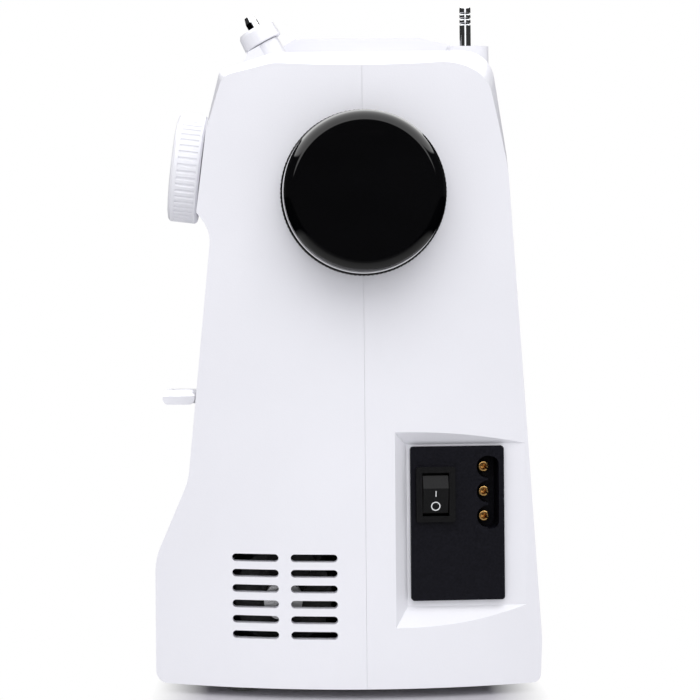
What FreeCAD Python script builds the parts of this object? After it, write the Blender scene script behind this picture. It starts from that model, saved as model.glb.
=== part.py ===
"""Free-arm sewing machine as an assembly of separate pieces, in millimetres.

+X points out of the handwheel end, -Y to the operator and +Z up.
The origin lies on the table under the middle of the machine.
"""
import FreeCAD, Part
import Sketcher
import math
import os
import re

Vector = FreeCAD.Vector
Rotation = FreeCAD.Rotation
Placement = FreeCAD.Placement

doc = FreeCAD.newDocument("sewing_machine")
sheet = doc.addObject("Spreadsheet::Sheet", "Sizes")

# Driving dimensions: alias, value, meaning
SIZES = (
    ("rim_z", 3.8, "lower rim of the casing above the table, the height of a foot"),
    ("top_z", 247, "flat top of the casing"),
    ("wall", 2.6, "wall of the casing shells"),
    ("gap", 0.3, "clearance between pieces that move past each other"),
    ("fit", 0.05, "radial running clearance of a shaft or pin"),
    ("overshoot", 5, "how far a cutting tool runs past the face that it cuts"),
    ("seam_y", 6.6, "plane of the seam between the shells"),
    ("seam_gap", 0.06, "gap at the seam between the shells"),
    ("end_x", 150, "handwheel end of the casing"),
    ("end_radius", 180, "plan radius of the crowned end face"),
    ("end_inset", 5, "end face to the inside of the end wall"),
    ("bevel_run", 14, "length of the sloping top edge at the end face"),
    ("bevel_drop", 6.4, "height of the sloping top edge at the end face"),
    ("shell_left", -165, "left edge of the shells, where the face cover shuts"),
    ("column_x", 55, "left face of the column"),
    ("arm_z", 174, "underside of the arm"),
    ("arm_round", 18, "radius where the arm meets the column and the head"),
    ("head_x", -98, "right side of the head"),
    ("head_z", 124, "underside of the head"),
    ("head_round", 4, "radius of the head's lower corner"),
    ("edge_round", 1, "radius of the plain corners"),
    ("base_half", 74.6, "half depth of the casing at the base"),
    ("front_rim_round", 4.5, "radius of the front lower edge of the casing"),
    ("rear_rim_round", 3, "radius of the rear lower edge of the casing"),
    ("rim_draft", 0.8, "draft of the rear face at the rim"),
    ("flare_z", 51.5, "height where the front of the base starts to lean back"),
    ("flare_top_y", -61.2, "front of the column above the flare"),
    ("flare_top_z", 82.3, "top of the flare"),
    ("flare_round", 25, "radius of the flare's two bends"),
    ("chin_y", -51.6, "front of the column under the fascia"),
    ("chin_z", 178.2, "height of the step under the fascia"),
    ("chin_round", 13, "radius of the step under the fascia"),
    ("fascia_low_y", -57.2, "lower edge of the fascia"),
    ("fascia_low_z", 185.6, "height of the lower edge of the fascia"),
    ("fascia_low_round", 1.2, "radius of the lower edge of the fascia"),
    ("fascia_top_y", -53.15, "upper edge of the fascia"),
    ("fascia_top_z", 219, "height of the upper edge of the fascia"),
    ("fascia_top_round", 25, "radius of the upper edge of the fascia"),
    ("brow_y", -47.8, "front edge of the sloping top"),
    ("brow_z", 240.2, "height of the front edge of the sloping top"),
    ("brow_round", 3, "radius of the front edge of the sloping top"),
    ("crown_y", -27, "rear edge of the sloping top"),
    ("crown_round", 12, "radius of the two long edges of the top"),
    ("rear_top_y", 56.4, "rear edge of the top"),
    ("shoulder_y", 62.8, "rear face where it steepens"),
    ("shoulder_z", 205, "height where the rear face steepens"),
    ("shoulder_round", 90, "radius where the rear face steepens"),
    ("rear_low_z", 20, "height of the widest line of the rear face"),
    ("rear_low_round", 30, "radius at the widest line of the rear face"),
    ("shaft_z", 191.8, "height of the main shaft"),
    ("shaft_radius", 5, "radius of the main shaft"),
    ("shaft_left", -104, "left end of the main shaft"),
    ("shaft_room", 3, "room round the main shaft in the end wall"),
    ("lower_z", 52, "height of the lower shaft"),
    ("lower_radius", 4, "radius of the lower shaft"),
    ("bush_wall", 2.5, "wall of a shaft bush"),
    ("bush_length", 12, "length of a shaft bush and of the lug that holds it"),
    ("right_lug_x", -50, "left side of the main shaft's right bearing lug from the end face"),
    ("left_lug_x", -92, "left side of the main shaft's left bearing lug"),
    ("lower_right_lug_x", 40, "left side of the lower shaft's right bearing lug"),
    ("lower_left_lug_x", -121, "left side of the lower shaft's left bearing lug"),
    ("lug_half", 11, "half height of a bearing lug"),
    ("frame_y", 30, "front face of the frame's web"),
    ("frame_rear_y", 44, "rear face of the frame's web"),
    ("frame_left", -150, "left end of the frame"),
    ("frame_right", -22, "right end of the frame's arm from the end face"),
    ("beam_low_z", 180, "underside of the frame's arm"),
    ("beam_top_z", 230, "top of the frame's arm"),
    ("post_left", 72, "left side of the frame's post"),
    ("post_right", 98, "right side of the frame's post"),
    ("web_thickness", 6, "thickness of the frame's thin webs"),
    ("post_foot", 12, "reach of the post's foot"),
    ("post_foot_left", 4, "reach of the post's foot to the left"),
    ("lower_web_low", 5, "lower web above the underside of the free arm"),
    ("lower_web_top", 14, "lower web below the top of the free arm"),
    ("lower_lug_z", 128, "underside of the lower bar lug"),
    ("upper_lug_z", 214.5, "underside of the upper needle bar lug"),
    ("presser_lug_z", 186, "underside of the upper presser bar lug"),
    ("bar_lug_half", 8, "half width of a bar lug"),
    ("bar_lug_right", 9, "reach of the lower bar lug to the right"),
    ("presser_lug_front", 6, "reach of the presser bar lug to the front"),
    ("pin_lug_half", 8, "half height of a pin's lug"),
    ("pin_lug_front", 7, "reach of a pin's lug to the front"),
    ("lifter_gap", 1.5, "gap between the lifter and the webs"),
    ("bar_bush_length", 10, "length of a bar bush"),
    ("bar_bush_wall", 1.8, "wall of a bar bush"),
    ("wheel_x", 1.8, "rear face of the handwheel beyond the end face"),
    ("wheel_radius", 31.5, "radius of the handwheel's grip flange"),
    ("flange_width", 6, "width of the grip flange"),
    ("wheel_chamfer", 0.8, "chamfer of the grip flange"),
    ("neck_step", 3, "step of the handwheel behind its cap"),
    ("cap_x", 8.6, "rear face of the handwheel cap beyond the end face"),
    ("cap_radius", 30.2, "radius of the handwheel cap"),
    ("cap_front", 25, "front face of the handwheel cap beyond the end face"),
    ("cap_shoulder", 3.8, "rounded shoulder of the handwheel cap"),
    ("cap_rim", 1, "rear chamfer of the handwheel cap"),
    ("cap_face", 8, "cap's face to the end of the main shaft"),
    ("belt_x", -19, "left side of the belt wheel from the end face"),
    ("belt_width", 8, "width of the belt wheel"),
    ("belt_wheel_radius", 28, "radius of the belt wheel"),
    ("motor_pulley_radius", 6, "radius of the motor pulley"),
    ("belt_thickness", 2.2, "thickness of the drive belt"),
    ("pulley_flange", 1, "thickness of a pulley's flange"),
    ("flange_height", 1.4, "height of a pulley's flange"),
    ("belt_edge", 1.4, "pulley's side to the edge of its belt"),
    ("motor_y", -25, "motor axis from the middle plane"),
    ("motor_z", 36, "height of the motor axis"),
    ("motor_radius", 24, "radius of the motor can"),
    ("motor_left", 70, "left end of the motor"),
    ("motor_right", -26, "right end of the motor from the end face"),
    ("motor_shaft_radius", 3, "radius of the motor shaft"),
    ("motor_shoulder", 5, "drop of the motor's shoulder"),
    ("motor_chamfer", 4, "length of the motor's shoulder"),
    ("motor_bore_depth", 14, "depth of the motor's bore"),
    ("saddle_inset", 10, "motor's end to its saddle"),
    ("saddle_side", 6, "motor's side to the side of its saddle"),
    ("saddle_drop", 10, "motor's axis to the top of its saddle"),
    ("timing_x", 60, "left side of the timing pulleys"),
    ("timing_width", 8, "width of the timing pulleys"),
    ("upper_timing_radius", 19, "radius of the upper timing pulley"),
    ("lower_timing_radius", 9.5, "radius of the lower timing pulley"),
    ("timing_belt_thickness", 1.8, "thickness of the timing belt"),
    ("needle_x", -128, "needle from the middle of the machine"),
    ("bar_radius", 3.2, "radius of the needle bar"),
    ("bar_low_z", 122.5, "lower end of the needle bar, raised"),
    ("bar_top_z", 234, "upper end of the needle bar, raised"),
    ("needle_tip_z", 92, "point of the needle, raised"),
    ("needle_radius", 0.7, "radius of the needle"),
    ("needle_point", 4, "length of the needle's point"),
    ("needle_shank", 10, "length of the needle's shank"),
    ("shank_extra", 0.3, "how much thicker the needle's shank is"),
    ("clamp_drop", 7.5, "needle clamp below the bar"),
    ("clamp_grip", 5, "needle clamp's grip on the bar"),
    ("clamp_wall", 1.8, "wall of the needle clamp"),
    ("clamp_screw_drop", 4, "clamp screw below the bar"),
    ("clamp_screw_radius", 1.45, "radius of the clamp screw"),
    ("clamp_screw_length", 5, "shank of the clamp screw"),
    ("clamp_head_radius", 3.2, "radius of the clamp screw's head"),
    ("clamp_head_length", 5, "length of the clamp screw's head"),
    ("clamp_chamfer", 0.6, "chamfer of the clamp screw's head"),
    ("window_left", 16, "needle to the left side of its window"),
    ("window_right", 20, "needle to the right side of its window"),
    ("window_front", 16, "needle to the front of its window"),
    ("window_rear", 8, "frame to the rear of the needle's window"),
    ("crank_radius", 15, "radius of the crank pin's circle"),
    ("crank_disc_radius", 20, "radius of the crank disc"),
    ("crank_width", 8, "thickness of the crank disc"),
    ("crank_seat", 6, "main shaft's seat in the crank disc"),
    ("crank_neck", 9, "half width of the crank disc's neck"),
    ("link_length", 30, "needle link between its eyes"),
    ("link_x", -121.5, "left side of the needle link"),
    ("link_width", 3.5, "thickness of the needle link"),
    ("link_half", 4, "half width of the needle link"),
    ("link_gap", 1, "gap beside the needle link"),
    ("stud_half", 5, "half width of the needle stud"),
    ("stud_height", 4, "half height of the needle stud"),
    ("pin_radius", 2.5, "radius of the crank pin and the needle stud"),
    ("eye_wall", 3, "wall of an eye"),
    ("pin_head", 1.5, "thickness of a pin's head"),
    ("presser_y", 22, "presser bar from the middle plane"),
    ("presser_radius", 3, "radius of the presser bar"),
    ("presser_low_z", 96, "lower end of the presser bar, foot down"),
    ("presser_top_z", 205, "upper end of the presser bar, foot down"),
    ("bracket_z", 153, "underside of the presser bar bracket"),
    ("bracket_half", 5, "half width of the presser bar bracket"),
    ("bracket_height", 6, "height of the presser bar bracket"),
    ("lifter_offset", 7, "offset of the lifter cam from its pin"),
    ("lifter_cam_radius", 9, "radius of the lifter cam"),
    ("lifter_cam_lean", 30, "lean of the lifter cam's offset, foot down"),
    ("lifter_length", 49, "lifter from its pin to its tip"),
    ("lifter_x", -142, "left side of the presser lifter"),
    ("lifter_width", 4, "thickness of the presser lifter"),
    ("lifter_half", 4, "half height of the lifter's arm"),
    ("lifter_slot_low", 6, "head's underside to the lifter's slot"),
    ("lifter_slot_high", 8, "top of the lifter's slot above the arm's underside"),
    ("bed_z", 78, "top of the free arm"),
    ("plate_thickness", 2, "thickness of the needle plate"),
    ("plate_ledge", 5, "ledge under the needle plate"),
    ("plate_round", 2, "corner radius of the needle plate"),
    ("needle_slot_x", 4, "half length of the needle's slot"),
    ("needle_slot_y", 1.1, "half width of the needle's slot"),
    ("grip_pitch", 2, "distance between the slide plate's grip lines"),
    ("grip_half", 8, "half length of a grip line"),
    ("grip_depth", 0.6, "depth of a grip line"),
    ("plate_left", -140, "left edge of the needle plate"),
    ("plate_right", -96, "right edge of the needle plate"),
    ("free_left", -160, "left end of the free arm"),
    ("free_front", -28, "front of the free arm"),
    ("free_rear", 40, "rear of the free arm"),
    ("free_z", 30, "underside of the free arm"),
    ("free_wall", 2.4, "wall of the free arm cover"),
    ("arm_root", 4, "free arm's cover inside the column"),
    ("arm_edge_round", 5, "radius of the free arm's long edges"),
    ("feed_outer_x", 7.5, "needle to an outer row of the feed dog"),
    ("feed_inner_x", 3, "needle to an inner row of the feed dog"),
    ("feed_half", 15, "half length of an outer row"),
    ("feed_inner_front", 5, "needle to the front of an inner row"),
    ("feed_row_half", 1, "half width of a row"),
    ("feed_sink", 0.4, "top of the feed dog below the bed"),
    ("feed_low", 8, "underside of the rows below the bed"),
    ("tooth_pitch", 1.5, "distance between two teeth"),
    ("tooth_root", 0.2, "upright side of a tooth"),
    ("tooth_depth", 0.8, "depth of a tooth"),
    ("feed_base_left", 10, "feed dog's base to the left of the needle"),
    ("feed_base_right", 26, "feed dog's base to the right of the needle"),
    ("feed_base_front", 16, "feed dog's base in front of the needle"),
    ("feed_base_rear", 18, "feed dog's base behind the needle"),
    ("feed_base_thickness", 3, "thickness of the feed dog's base"),
    ("feed_hole_x", 4.5, "half width of the hole in the feed dog's base"),
    ("feed_hole_y", 4, "half depth of the hole in the feed dog's base"),
    ("feed_slot_gap", 0.4, "gap beside a row in its slot"),
    ("feed_travel", 2.5, "gap before and behind a row in its slot"),
    ("hook_radius", 13, "radius of the rotary hook"),
    ("hook_left", -148, "open left side of the rotary hook"),
    ("hook_right", -131.5, "right side of the rotary hook"),
    ("hook_lip", 2, "set-back of the hook's lip"),
    ("hook_wall", 1.6, "wall of the hook"),
    ("hook_floor", 2.5, "floor of the hook"),
    ("case_wall", 0.8, "wall of the bobbin case"),
    ("case_face", 1, "face of the bobbin case"),
    ("case_hole", 2.4, "hole of the bobbin case"),
    ("bobbin_start", 1.2, "case's face to the bobbin"),
    ("bobbin_end", 3.2, "hook's right side to the bobbin"),
    ("bobbin_bore", 2.2, "bore of the bobbin"),
    ("bobbin_flange", 0.8, "thickness of a bobbin's flange"),
    ("bobbin_groove", 1.5, "depth of the bobbin's groove"),
    ("foot_sole_z", 79.8, "sole of the presser foot, foot down"),
    ("sole_thickness", 2.2, "thickness of the presser foot's sole"),
    ("foot_half", 9, "half width of the presser foot"),
    ("foot_front", 18, "presser foot's toes in front of the needle"),
    ("foot_slot_half", 3.6, "half width between the toes"),
    ("foot_slot_rear", 3, "slot between the toes behind the needle"),
    ("toe_round", 2, "radius of the toes"),
    ("ear_gap", 3.4, "presser foot's middle to an ear"),
    ("ear_width", 2.6, "width of an ear"),
    ("ear_half", 3, "half depth of an ear"),
    ("ear_top", 2.4, "ankle pin to the top of an ear"),
    ("ankle_radius", 1.2, "radius of the ankle pin"),
    ("ankle_offset", 6, "presser bar to the ankle pin"),
    ("ankle_height", 6.7, "sole to the ankle pin"),
    ("ankle_half", 6.5, "half length of the ankle pin"),
    ("shank_half", 5.5, "half width of the presser shank"),
    ("shank_front", 4.5, "presser bar to the front of the shank"),
    ("shank_low", 4, "presser shank below the bar's end"),
    ("shank_height", 14, "presser shank's grip on the bar"),
    ("tongue_half", 3, "half width of the shank's tongue"),
    ("tongue_front", 3.2, "ankle pin to the front of the tongue"),
    ("tongue_rear", 2, "presser bar to the rear of the tongue"),
    ("tongue_low", 3.8, "sole to the end of the tongue"),
    ("tray_z", 20, "top of the base under the free arm"),
    ("box_left", -172, "left end of the accessory box"),
    ("box_front", -64.8, "front of the accessory box"),
    ("box_rear", 62, "rear of the accessory box"),
    ("box_wall", 2.2, "wall of the accessory box"),
    ("box_play", 0.1, "extra play of the accessory box on the free arm"),
    ("box_left_inset", 4, "inset of the room at the box's left end"),
    ("box_low_z", 2, "underside of the accessory box"),
    ("lid_thickness", 2.4, "thickness of the accessory lid"),
    ("nail_half", 20, "half length of the lid's nail grip"),
    ("nail_depth", 5, "depth of the lid's nail grip"),
    ("face_depth", 9.7, "depth of the face cover"),
    ("face_rim", 4, "straight rim of the face cover"),
    ("foot_radius", 6.5, "radius of a rubber foot"),
    ("foot_end_x", 25, "end face to the front foot at the end"),
    ("foot_end_y", -40.6, "front foot at the end from the middle plane"),
    ("foot_rear_x", 42, "end face to the rear foot"),
    ("foot_rear_y", 44, "rear foot at the end from the middle plane"),
    ("foot_column_x", 18, "column's left face to its feet"),
    ("foot_column_front", -54, "front foot under the column"),
    ("foot_column_rear", 56, "rear foot under the column"),
    ("foot_tail_x", 16, "free arm's end to its feet"),
    ("foot_tail_y", 22, "seam to a foot under the free arm"),
    ("tray_gap", 0.5, "gap between the tray and the rim's round"),
    ("tail_inset", 2, "inset of the base under the free arm"),
    ("tail_root", 12, "base's tail inside the column"),
    ("dial_x", -42, "stitch dial from the end face"),
    ("dial_z", 203.4, "height of the stitch dial on the fascia"),
    ("dial_radius", 21.5, "radius of the stitch dial"),
    ("dial_thickness", 11.7, "thickness of the stitch dial"),
    ("dial_gap", 0.8, "gap behind the stitch dial"),
    ("dial_rim", 1.6, "plain rim at the back of the dial"),
    ("dial_face_rim", 2.6, "plain rim at the front of the dial"),
    ("dial_edge", 1.2, "depth of the dial's rounded edge"),
    ("dial_bevel", 2.2, "width of the dial's rounded edge"),
    ("rib_count", 52, "ribs round the stitch dial"),
    ("rib_height", 0.5, "height of a dial rib"),
    ("spindle_radius", 4, "radius of the dial spindle"),
    ("dial_boss_depth", 12, "depth of the dial's boss"),
    ("boss_sink", 1, "root of the boss in the wall"),
    ("cam_start", 13, "fascia to the pattern cam"),
    ("cam_length", 8, "length of the pattern cam"),
    ("cam_radius", 15, "radius of the pattern cam"),
    ("inner_cam_length", 7, "length of the second cam"),
    ("inner_cam_radius", 13, "radius of the second cam"),
    ("boss_wall", 4, "wall of a boss"),
    ("boss_gap", 2, "gap between a boss and what turns in it"),
    ("boss_half", 6, "half height of a boss"),
    ("lever_x", -66, "left side of the reverse lever's paddle from the end face"),
    ("lever_width", 22, "width of the reverse lever's paddle"),
    ("lever_z", 113, "height of the reverse lever's pin"),
    ("lever_pin_y", -40, "reverse lever's pin from the middle plane"),
    ("lever_thickness", 5.9, "thickness of the reverse lever"),
    ("lever_tip_y", -72.8, "tip of the reverse lever"),
    ("lever_dome", 2.6, "rise of the lever's domed top"),
    ("lever_boss_reach", 16.6, "lever's pin to the front of its bosses"),
    ("lever_boss_rear", 5, "lever's pin to the rear of its bosses"),
    ("slot_gap", 1, "gap beside a lever in its slot"),
    ("lever_slot_front", 30, "lever's pin to the front of its slot"),
    ("lever_slot_rear", 8, "lever's pin to the rear of its slot"),
    ("lever_slot_low", 10, "lever's pin to the bottom of its slot"),
    ("lever_slot_high", 4.2, "lever's pin to the top of its slot"),
    ("lever_arm_length", 20, "lever's pin to its paddle"),
    ("lever_lap", 1, "overlap of the lever's arm and paddle"),
    ("lever_side", 3, "side of the paddle to the arm"),
    ("lever_step", 0.4, "step between the paddle and the arm"),
    ("hub_wall", 2.6, "wall of the lever's hub"),
    ("winder_x", -45, "bobbin winder from the end face"),
    ("winder_y", -26.9, "bobbin winder's foot on the sloping top"),
    ("winder_z", 246.3, "height of the bobbin winder's foot"),
    ("winder_lean", 29.2, "lean of the bobbin winder to the front"),
    ("winder_neck_radius", 6.2, "radius of the winder's neck"),
    ("winder_neck_length", 8.6, "length of the winder's neck"),
    ("winder_disc_radius", 7.95, "radius of the winder's disc"),
    ("winder_disc_thickness", 6.8, "thickness of the winder's disc"),
    ("winder_spindle_radius", 2.5, "radius of the winder spindle"),
    ("winder_spindle_length", 5.5, "winder spindle above its disc"),
    ("winder_shift", 5, "travel of the winder towards its stop"),
    ("winder_slot_low", 20, "depth of the winder's slot"),
    ("winder_slot_high", 10, "height of the winder's slot"),
    ("winder_root", 14, "root of the winder's neck"),
    ("winder_tail", 24, "tail of the winder's spindle"),
    ("carriage_left", 14, "reach of the winder's carriage to the left"),
    ("carriage_right", 10, "reach of the winder's carriage to the right"),
    ("carriage_front", 8, "reach of the winder's carriage to the front"),
    ("carriage_rear", 16, "reach of the winder's carriage to the rear"),
    ("carriage_drop", 13, "winder's foot to its carriage"),
    ("carriage_thickness", 4, "thickness of the winder's carriage"),
    ("stop_gap", 5, "winder's disc to the axis of its stop"),
    ("stop_height", 13, "height of the winder's stop"),
    ("guard_gap", 2.2, "winder's axis to the back of its guard"),
    ("guard_top", 8.3, "height of the winder's guard"),
    ("guard_flat", 7, "winder's axis to the front of the guard's top"),
    ("guard_edge", 11, "winder's axis to the guard's front edge"),
    ("guard_edge_height", 5.6, "height of the guard's front edge"),
    ("guard_half", 8.5, "half length of the winder's guard"),
    ("spool_x", -35, "spool pin from the end face"),
    ("spool_y", 48.65, "spool pin from the middle plane"),
    ("spool_radius", 2.2, "radius of the spool pin"),
    ("spool_top_z", 267.6, "tip of the spool pin, pushed in"),
    ("spool_low_z", 205, "lower end of the spool pin, pushed in"),
    ("spool_tip", 1.13, "height of the spool pin's tip"),
    ("groove_first", 3.2, "spool pin's tip to its first groove"),
    ("groove_pitch", 2, "distance between two grooves"),
    ("groove_depth", 0.45, "depth of a groove"),
    ("groove_neck", 0.4, "straight part of a groove"),
    ("groove_height", 0.97, "height of a groove"),
    ("seat_z", 250, "top of the spool pin's seat"),
    ("seat_half", 12, "half length of the spool pin's seat"),
    ("seat_front_y", 41, "front of the spool pin's seat"),
    ("seat_rear_y", 57, "rear of the spool pin's seat"),
    ("seat_root", 12, "root of the spool pin's seat"),
    ("seat_round", 3.5, "corner radius of the spool pin's seat"),
    ("handle_left", -58, "left end of the carrying handle"),
    ("handle_right", -68, "right end of the carrying handle from the end face"),
    ("handle_front_y", -27, "grip of the carrying handle, folded"),
    ("handle_pivot_y", 42.5, "pivot of the carrying handle"),
    ("handle_pivot_z", 251.9, "height of the carrying handle's pivot"),
    ("handle_thickness", 11, "thickness of the carrying handle"),
    ("handle_eye_radius", 4.3, "round end of the carrying handle at its pivot"),
    ("leg_width", 10, "width of a leg of the carrying handle"),
    ("handle_slope", 8.4, "depth of the slope at the handle's front"),
    ("handle_nose", 3.8, "depth of the handle's upper front edge"),
    ("handle_nose_drop", 2.7, "drop of the handle's upper front edge"),
    ("handle_lip", 4, "height of the handle's front edge"),
    ("handle_lip_back", 1.5, "set-back of the handle's lower front edge"),
    ("leg_slope", 10, "length of the slope at a leg's end"),
    ("grip_low", 13, "depth of the grip's underside"),
    ("grip_top", 15, "depth of the grip's top"),
    ("pivot_reach", 5, "reach of a handle's pin into its leg"),
    ("pivot_width", 8, "width of a pivot block"),
    ("pivot_half", 6, "half depth of a pivot block"),
    ("pivot_top", 4, "handle's axis to the top of a pivot block"),
    ("pivot_round", 2, "radius of a pivot block's top"),
    ("pivot_play", 0.5, "play at the end of a handle's pin"),
    ("tension_x", -94, "left side of the tension wheel"),
    ("tension_width", 10, "width of the tension wheel"),
    ("tension_y", -30, "axis of the tension wheel"),
    ("tension_z", 227.5, "height of the tension wheel's axis"),
    ("tension_radius", 22.5, "radius of the tension wheel"),
    ("tension_bevel", 2.5, "bevel of the tension wheel"),
    ("tension_rim", 1, "length of the tension wheel's bevel"),
    ("tension_boss_half", 5, "half size of a tension boss"),
    ("tension_boss_top", 2.8, "top of a tension boss above the brow"),
    ("tension_slot_gap", 0.8, "gap beside the tension wheel"),
    ("tension_slot_drop", 16, "tension axle to the bottom of its slot"),
    ("thread_slot_inset", 3, "tension wheel's side to the thread slot"),
    ("thread_slot_depth", 8, "brow to the end of the thread slot"),
    ("thread_slot_low", 6, "fascia's lower edge to the thread slot"),
    ("lifter_z", 149.8, "height of the lifter's pivot"),
    ("lifter_drop", 13, "how far the lifter's end hangs below its pivot"),
    ("lamp_x", -154, "centre of the lamp along X"),
    ("lamp_y", -6, "centre of the lamp along Y"),
    ("lamp_radius", 5, "radius of the lamp's lens"),
    ("lamp_bulge", 1.2, "bulge of the lamp's lens"),
    ("lamp_depth", 6, "depth of the lamp"),
    ("hinge_radius", 1.6, "radius of the face cover's hinge pins"),
    ("hinge_offset", 22, "seam to a hinge pin"),
    ("hinge_length", 12, "length of a hinge pin"),
    ("floor_thickness", 3, "floor of the base tray"),
    ("lid_pin_radius", 0.8, "radius of the lid's pivots"),
    ("rocker_axis", -1.5, "rocker's axis behind the panel"),
    ("rocker_face", 4, "face of the rocker in front of the panel's back"),
    ("rocker_pin_radius", 1.2, "radius of the rocker's axle"),
    ("rocker_root", 2.2, "rocker's axis to its back"),
    ("rocker_root_inset", 2, "inset of the rocker's back"),
    ("rocker_low", 1.4, "drop of the rocker's lower end"),
    ("rocker_end", 0.8, "inset of the rocker's ends"),
    ("rocker_ridge", 0.6, "rise of the rocker's ridge"),
    ("rocker_high", 1, "drop of the rocker's upper end"),
    ("rocker_room_depth", 5, "depth of the room for the rocker"),
    ("guide_x", -126, "left edge of the thread guide"),
    ("guide_y", 28, "front edge of the thread guide"),
    ("guide_length", 14, "length of the thread guide"),
    ("guide_depth", 12, "depth of the thread guide"),
    ("guide_sheet", 1.2, "thickness of the thread guide"),
    ("guide_height", 7, "height of the thread guide"),
    ("guide_hook", 8, "length of the thread guide's hook"),
    ("screw_radius", 3.6, "head of a casing screw"),
    ("screw_height", 1.6, "height of a screw's head"),
    ("screw_sink", 3, "depth to which a screw's head is drawn"),
    ("cross_length", 2.1, "half length of a screw's cross"),
    ("cross_half", 0.45, "half width of a screw's cross"),
    ("cross_depth", 0.9, "depth of a screw's cross"),
    ("screw_column", 14, "column's left face to its screws"),
    ("screw_low", 60, "rim to the lowest screw"),
    ("screw_mid", 24, "arm's underside to the column's upper screw"),
    ("screw_arm", 20, "arm's underside to its screws"),
    ("screw_left", 10, "left edge of the shells to their screws"),
    ("screw_head", 12, "head's underside to its screw"),
    ("takeup_x", -146, "left side of the take-up lever"),
    ("takeup_width", 2.5, "thickness of the take-up lever"),
    ("takeup_pin_y", 22, "take-up lever's pin from the middle plane"),
    ("takeup_pin_z", 212, "height of the take-up lever's pin"),
    ("takeup_tip_y", -57, "eye of the take-up lever, raised"),
    ("takeup_tip_z", 231, "height of the take-up lever's eye, raised"),
    ("takeup_pin_radius", 3, "radius of the take-up lever's pin"),
    ("takeup_root", 5, "half height of the take-up lever at its pin"),
    ("takeup_tip", 3.2, "half height of the take-up lever at its eye"),
    ("takeup_nose", 2, "take-up lever beyond its eye"),
    ("takeup_eye", 1.3, "radius of the take-up lever's eye"),
    ("takeup_slot_gap", 2, "gap beside the take-up lever in its slot"),
    ("takeup_slot_low", 2, "fascia's lower edge to the take-up slot"),
    ("takeup_slot_high", 4, "top of the take-up slot above the brow"),
    ("vent_y", -44.4, "front end of the vent slots"),
    ("vent_z", 24.1, "lowest vent slot"),
    ("vent_length", 17.8, "length of a vent slot"),
    ("vent_height", 3, "height of a vent slot"),
    ("vent_pitch", 5.87, "rise from one vent slot to the next"),
    ("vent_step", 22.4, "distance between the two columns of slots"),
    ("vent_rows", 6, "slots in each column"),
    ("vent_reach", 26, "depth to which the vents are cut"),
    ("panel_x", -8.8, "floor of the power recess at its middle, from the end face"),
    ("panel_y", 41.8, "middle of the power panel"),
    ("panel_z", 65.8, "height of the middle of the power panel"),
    ("panel_turn", 4.6, "turn of the power panel to the rear"),
    ("panel_width", 36, "width of the power panel"),
    ("panel_height", 58.8, "height of the power panel"),
    ("panel_thickness", 2.2, "thickness of the power panel"),
    ("panel_round", 1.2, "corner radius of the power panel"),
    ("panel_reach", 20, "depth to which the panel's windows are cut"),
    ("recess_depth", 16, "depth to which the power recess is drawn"),
    ("recess_side", 1.3, "panel's front edge to the recess wall"),
    ("recess_low", 2.4, "panel's lower edge to the recess wall"),
    ("recess_top", 0.7, "panel's upper edge to the recess wall"),
    ("switch_y", -8.6, "middle of the switch across the panel"),
    ("switch_z", 11.2, "middle of the switch up the panel"),
    ("switch_width", 15, "width of the switch bezel"),
    ("switch_height", 21, "height of the switch bezel"),
    ("switch_ledge", 0.8, "ledge of the switch's bezel"),
    ("snap_gap", 0.2, "gap round the switch's body"),
    ("switch_depth", 13, "depth of the switch's body"),
    ("bezel_height", 1.8, "height of the switch's bezel"),
    ("bezel_round", 1, "corner radius of the switch's bezel"),
    ("rocker_width", 9.7, "width of the rocker"),
    ("rocker_height", 15.9, "height of the rocker"),
    ("inlet_y", 11.7, "middle of the inlet across the panel"),
    ("inlet_z", 11.5, "middle of the inlet up the panel"),
    ("inlet_width", 8.5, "width of the inlet"),
    ("inlet_height", 27.8, "height of the inlet"),
    ("inlet_depth", 9, "depth of the inlet"),
    ("inlet_pitch", 9.45, "distance between the inlet pins"),
    ("inlet_lobe_radius", 4.3, "radius of the inlet's three bays"),
    ("inlet_round", 3, "radius of the inlet's straight side"),
    ("inlet_pin_radius", 2.1, "radius of an inlet pin"),
    ("pin_inset", 3, "inlet's front side to its pins"),
    ("pin_rise", 0.4, "middle pin above the inlet's middle"),
    ("pin_sink", 0.5, "inlet pins below the panel's back"),
    ("socket_wall", 1.6, "wall of the inlet's socket"),
    ("socket_floor", 2, "floor of the inlet's socket"),
)
for row, (alias, value, meaning) in enumerate(SIZES, 1):
    sheet.set("A%d" % row, meaning)
    sheet.set("B%d" % row, str(value))
    sheet.setAlias("B%d" % row, alias)
doc.recompute()

ALIASES = {alias for alias, value, meaning in SIZES}
WORD = re.compile(r"[a-z_]+")
pieces = []


def size(alias):
    """The number in one cell of the sheet."""
    return float(sheet.get(alias))


def formula(text):
    """A formula with the sheet's name put before each of its aliases."""
    return WORD.sub(lambda word: "Sizes." + word.group() if word.group() in ALIASES else word.group(),
                    str(text))


def bind(item, name, text):
    """Tie one property of a document object to a formula."""
    item.setExpression(name, formula(text))


def put(item, x, y, z):
    """Tie the place of a document object to three formulas."""
    bind(item, "Placement.Base.x", x)
    bind(item, "Placement.Base.y", y)
    bind(item, "Placement.Base.z", z)
    return item


def piece(item, label):
    """Name a finished piece, so that it gets a file of its own."""
    item.Label = label
    pieces.append(item)
    return item


def block(x, y, z, name="block"):
    """A box between pairs of formulas for its low and high sides."""
    box = doc.addObject("Part::Box", name)
    bind(box, "Length", "(%s) - (%s)" % (x[1], x[0]))
    bind(box, "Width", "(%s) - (%s)" % (y[1], y[0]))
    bind(box, "Height", "(%s) - (%s)" % (z[1], z[0]))
    return put(box, x[0], y[0], z[0])


ALONG = {"x": Rotation(Vector(0, 1, 0), 90), "y": Rotation(Vector(1, 0, 0), -90), "z": Rotation()}


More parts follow.
